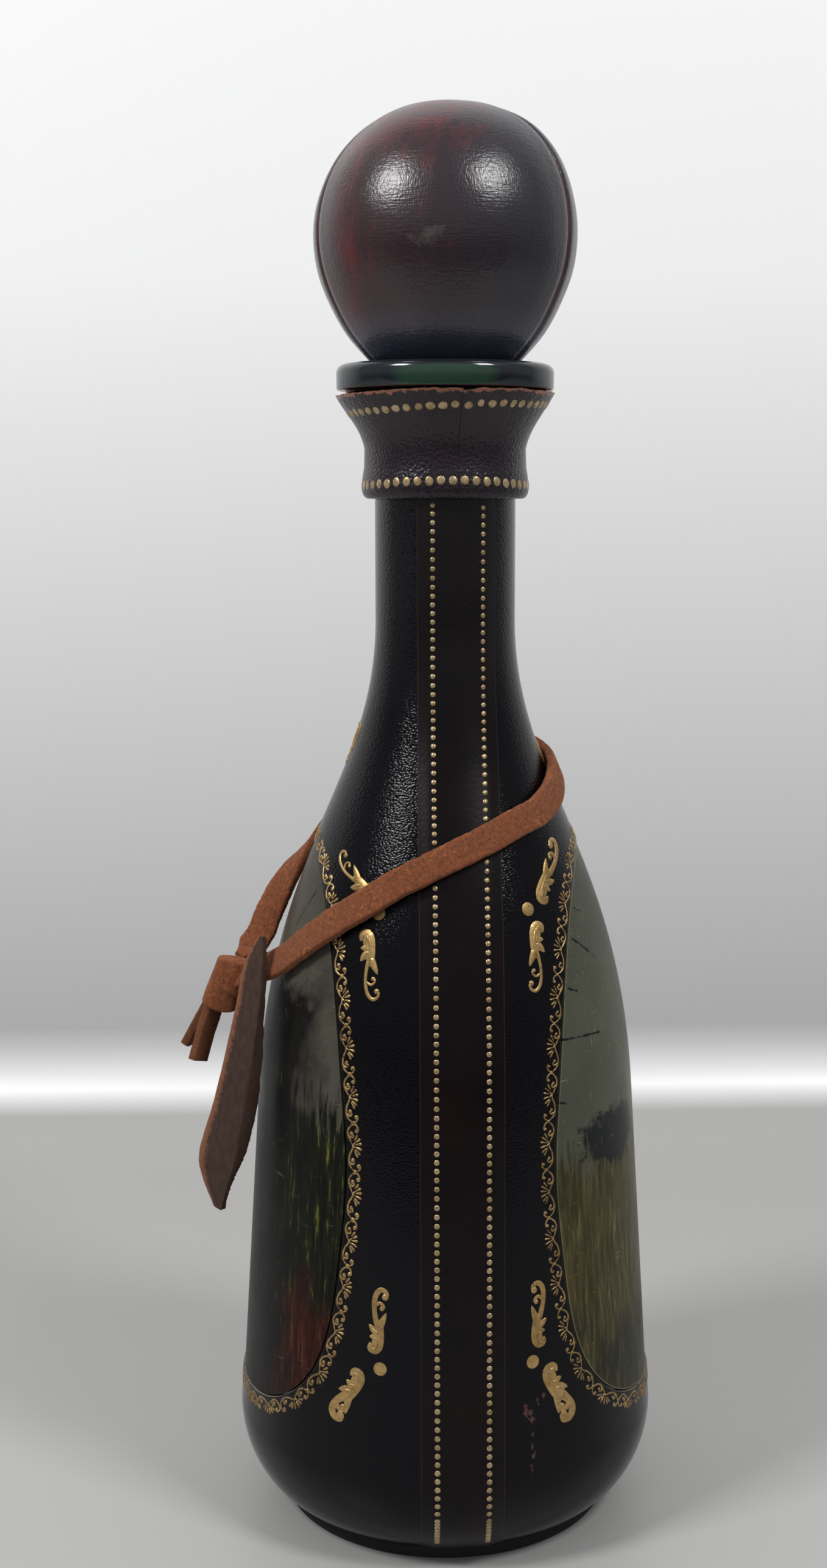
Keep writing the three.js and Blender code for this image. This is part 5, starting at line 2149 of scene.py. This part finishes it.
@dataclass
class HangTag:
    """The leather tag, folded lengthwise, that hangs from the lace."""

    thickness: float = 1.4
    edge_round: float = 0.2
    fold_at: float = 0.62
    bowed: float = 0.35
    across: int = 24
    along: int = 110
    left: tuple[Triple, ...] = (
        (-39.0, -14.4, 127.2), (-41.9, -14.4, 122.0), (-44.2, -14.6, 111.5), (-48.8, -13.8, 92.5),
        (-52.4, -12.6, 79.5), (-51.8, -12.8, 75.0), (-49.4, -13.4, 68.6),
    )
    fold: tuple[Triple, ...] = (
        (-38.2, -15.2, 127.2), (-38.2, -16.4, 121.6), (-39.2, -18.0, 110.6), (-42.6, -18.2, 91.8),
        (-44.6, -17.4, 79.0), (-46.0, -17.0, 74.4), (-47.8, -15.6, 68.2),
    )
    right: tuple[Triple, ...] = (
        (-37.4, -14.6, 127.0), (-37.4, -15.4, 121.0), (-38.0, -16.2, 110.2), (-39.6, -16.0, 91.8),
        (-42.8, -15.6, 79.6), (-44.8, -15.4, 75.4), (-47.0, -14.8, 69.2),
    )

    def build(self) -> Piece:
        """Cuts and folds the tag, with worn uneven edges.

        Returns:
            The tag.
        """

        def lay(u: float, v: float) -> Vector:
            """A place on the tag, from its left edge over the fold to its right edge."""
            left, fold, right = (curve_through(edge, 1 - v) for edge in (self.left, self.fold, self.right))
            if u < self.fold_at:
                bent = left.lerp(fold, u / self.fold_at)
            else:
                bent = fold.lerp(right, (u - self.fold_at) / (1 - self.fold_at))
            bow = left * (1 - u) ** 2 + fold * (2 * u * (1 - u)) + right * u ** 2
            spot = bent.lerp(bow, self.bowed)
            torn = 0.24 * ripple(6.0, v * 60, 4 * round(u)) + 0.1 * ripple(8.0, v * 110, 4 * round(u))
            spot.x += torn * ease(abs(2 * u - 1), 0.8, 1.0) * (1.0 if u > 0.5 else -0.3)
            spot.y += 0.2 * ripple(5.0, u * 3, v * 9)
            return spot

        piece = laid_grid("tag", self.across, self.along, lay)
        apply(piece, "SOLIDIFY", thickness=self.thickness * MM, offset=-1.0)
        apply(piece, "BEVEL", width=self.edge_round * MM, segments=2, limit_method="ANGLE",
              angle_limit=math.radians(60))
        smooth(piece, 55)
        return mount(piece, TAG_LEATHER, Body.TAG, ["hang_tag"])


@dataclass
class Studio:
    """Camera, lamps, pale floor and backdrop."""

    focal_px: float = 3200.0
    tall_px: float = 2576.0
    centre_px: float = 679.0
    axis_px: float = 731.0
    sensor: float = 36.0
    distance: float = 409.0
    height: float = 219.0
    azimuth: float = math.radians(-1.9)
    pitch: float = math.radians(8.67)
    lamp_distance: float = 1000.0
    lamp_size: float = 225.0
    lamp_aim: float = 160.0
    wall_y: float = 262.0
    cove: float = 22.0
    front_y: float = -420.0
    sheet_width: float = 3200.0
    sheet_length: float = 2600.0
    sheet_top: float = 1500.0

    def camera(self) -> None:
        """Sets the camera as the photograph was taken."""
        place = polar(self.distance, self.azimuth, self.height) * MM
        bpy.ops.object.camera_add(location=place, rotation=(math.pi / 2 - self.pitch, 0.0, self.azimuth))
        camera = bpy.context.object
        camera.data.sensor_width = self.sensor
        camera.data.lens = self.focal_px * self.sensor / self.tall_px
        camera.data.shift_x = -(self.axis_px - self.centre_px) / self.tall_px
        camera.data.clip_start = 0.01
        bpy.context.scene.camera = camera

    def lamp(self, name: str, azimuth: float, elevation: float, power: float) -> None:
        """A square soft lamp aimed at the bottle.

        Args:
            name: The lamp's name.
            azimuth: Where it stands, in degrees from the front.
            elevation: How high it stands, in degrees.
            power: In watts.
        """
        rise = math.radians(elevation)
        way = polar(math.cos(rise), math.radians(azimuth), math.sin(rise))
        place = (way * self.lamp_distance + Vector((0.0, 0.0, self.lamp_aim))) * MM
        bpy.ops.object.light_add(type="AREA", location=place)
        lamp = newest(name)
        lamp.rotation_euler = way.to_track_quat("Z", "Y").to_euler()
        lamp.data.size = self.lamp_size * MM
        lamp.data.energy = power

    def stage(self) -> None:
        """Floor and backdrop in one pale sheet with a rounded crease."""
        run = self.wall_y - self.cove - self.front_y
        bend = self.cove * math.pi / 2

        def lay(u: float, v: float) -> Vector:
            """A place on the sheet: on the floor, in the crease or on the wall."""
            length = v * self.sheet_length
            if length < run:
                y, z = self.front_y + length, 0.0
            elif length < run + bend:
                angle = (length - run) / self.cove
                y = self.wall_y - self.cove + self.cove * math.sin(angle)
                z = self.cove * (1 - math.cos(angle))
            else:
                y, z = self.wall_y, self.cove + length - run - bend
            return Vector(((u - 0.5) * self.sheet_width, y, min(z, self.sheet_top)))

        sheet = laid_grid("pale_sheet", 2, 800, lay)
        smooth(sheet, 60)
        PaperSheet().dress(sheet)

    def build(self) -> None:
        """Sets up the studio."""
        scene = bpy.context.scene
        scene.view_settings.view_transform = "Standard"
        self.camera()
        self.lamp("lamp_left", -57.0, 44.0, 6.0)
        self.lamp("lamp_right", 48.0, 48.0, 4.6)
        world = bpy.data.worlds.new("soft_room")
        scene.world = world
        world.use_nodes = True
        tree = world.node_tree
        tree.nodes.clear()
        up = put(tree, Kind.SPLIT, put(tree, Kind.COORDS).outputs["Generated"]).outputs["Z"]
        glow = put(tree, Kind.RANGE, up, -0.14, 0.02, 0.02, 0.42)
        put(tree, Kind.SKY_OUT, put(tree, Kind.SKY, "#eef0f4", glow))
        self.stage()


def main() -> None:
    """Builds the pieces in order."""
    logging.basicConfig(level=logging.INFO, format="%(name)s %(message)s")
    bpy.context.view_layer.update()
    Studio().build()
    tag = HangTag().build()
    SuedeLace().build(tag)
    glass = GlassBottle()
    glass.build()
    BaseDisc().build()
    for side in Side:
        LeatherHalf(side).build()
        PaintedPanel(side).build()
    strips = (SeamStrip(True), SeamStrip(False))
    for strip in strips:
        strip.build()
    collar = Collar(glass)
    collar.build()
    BallStopper().build()
    GoldTooling(strips, collar).build()


if __name__ == "__main__":
    main()
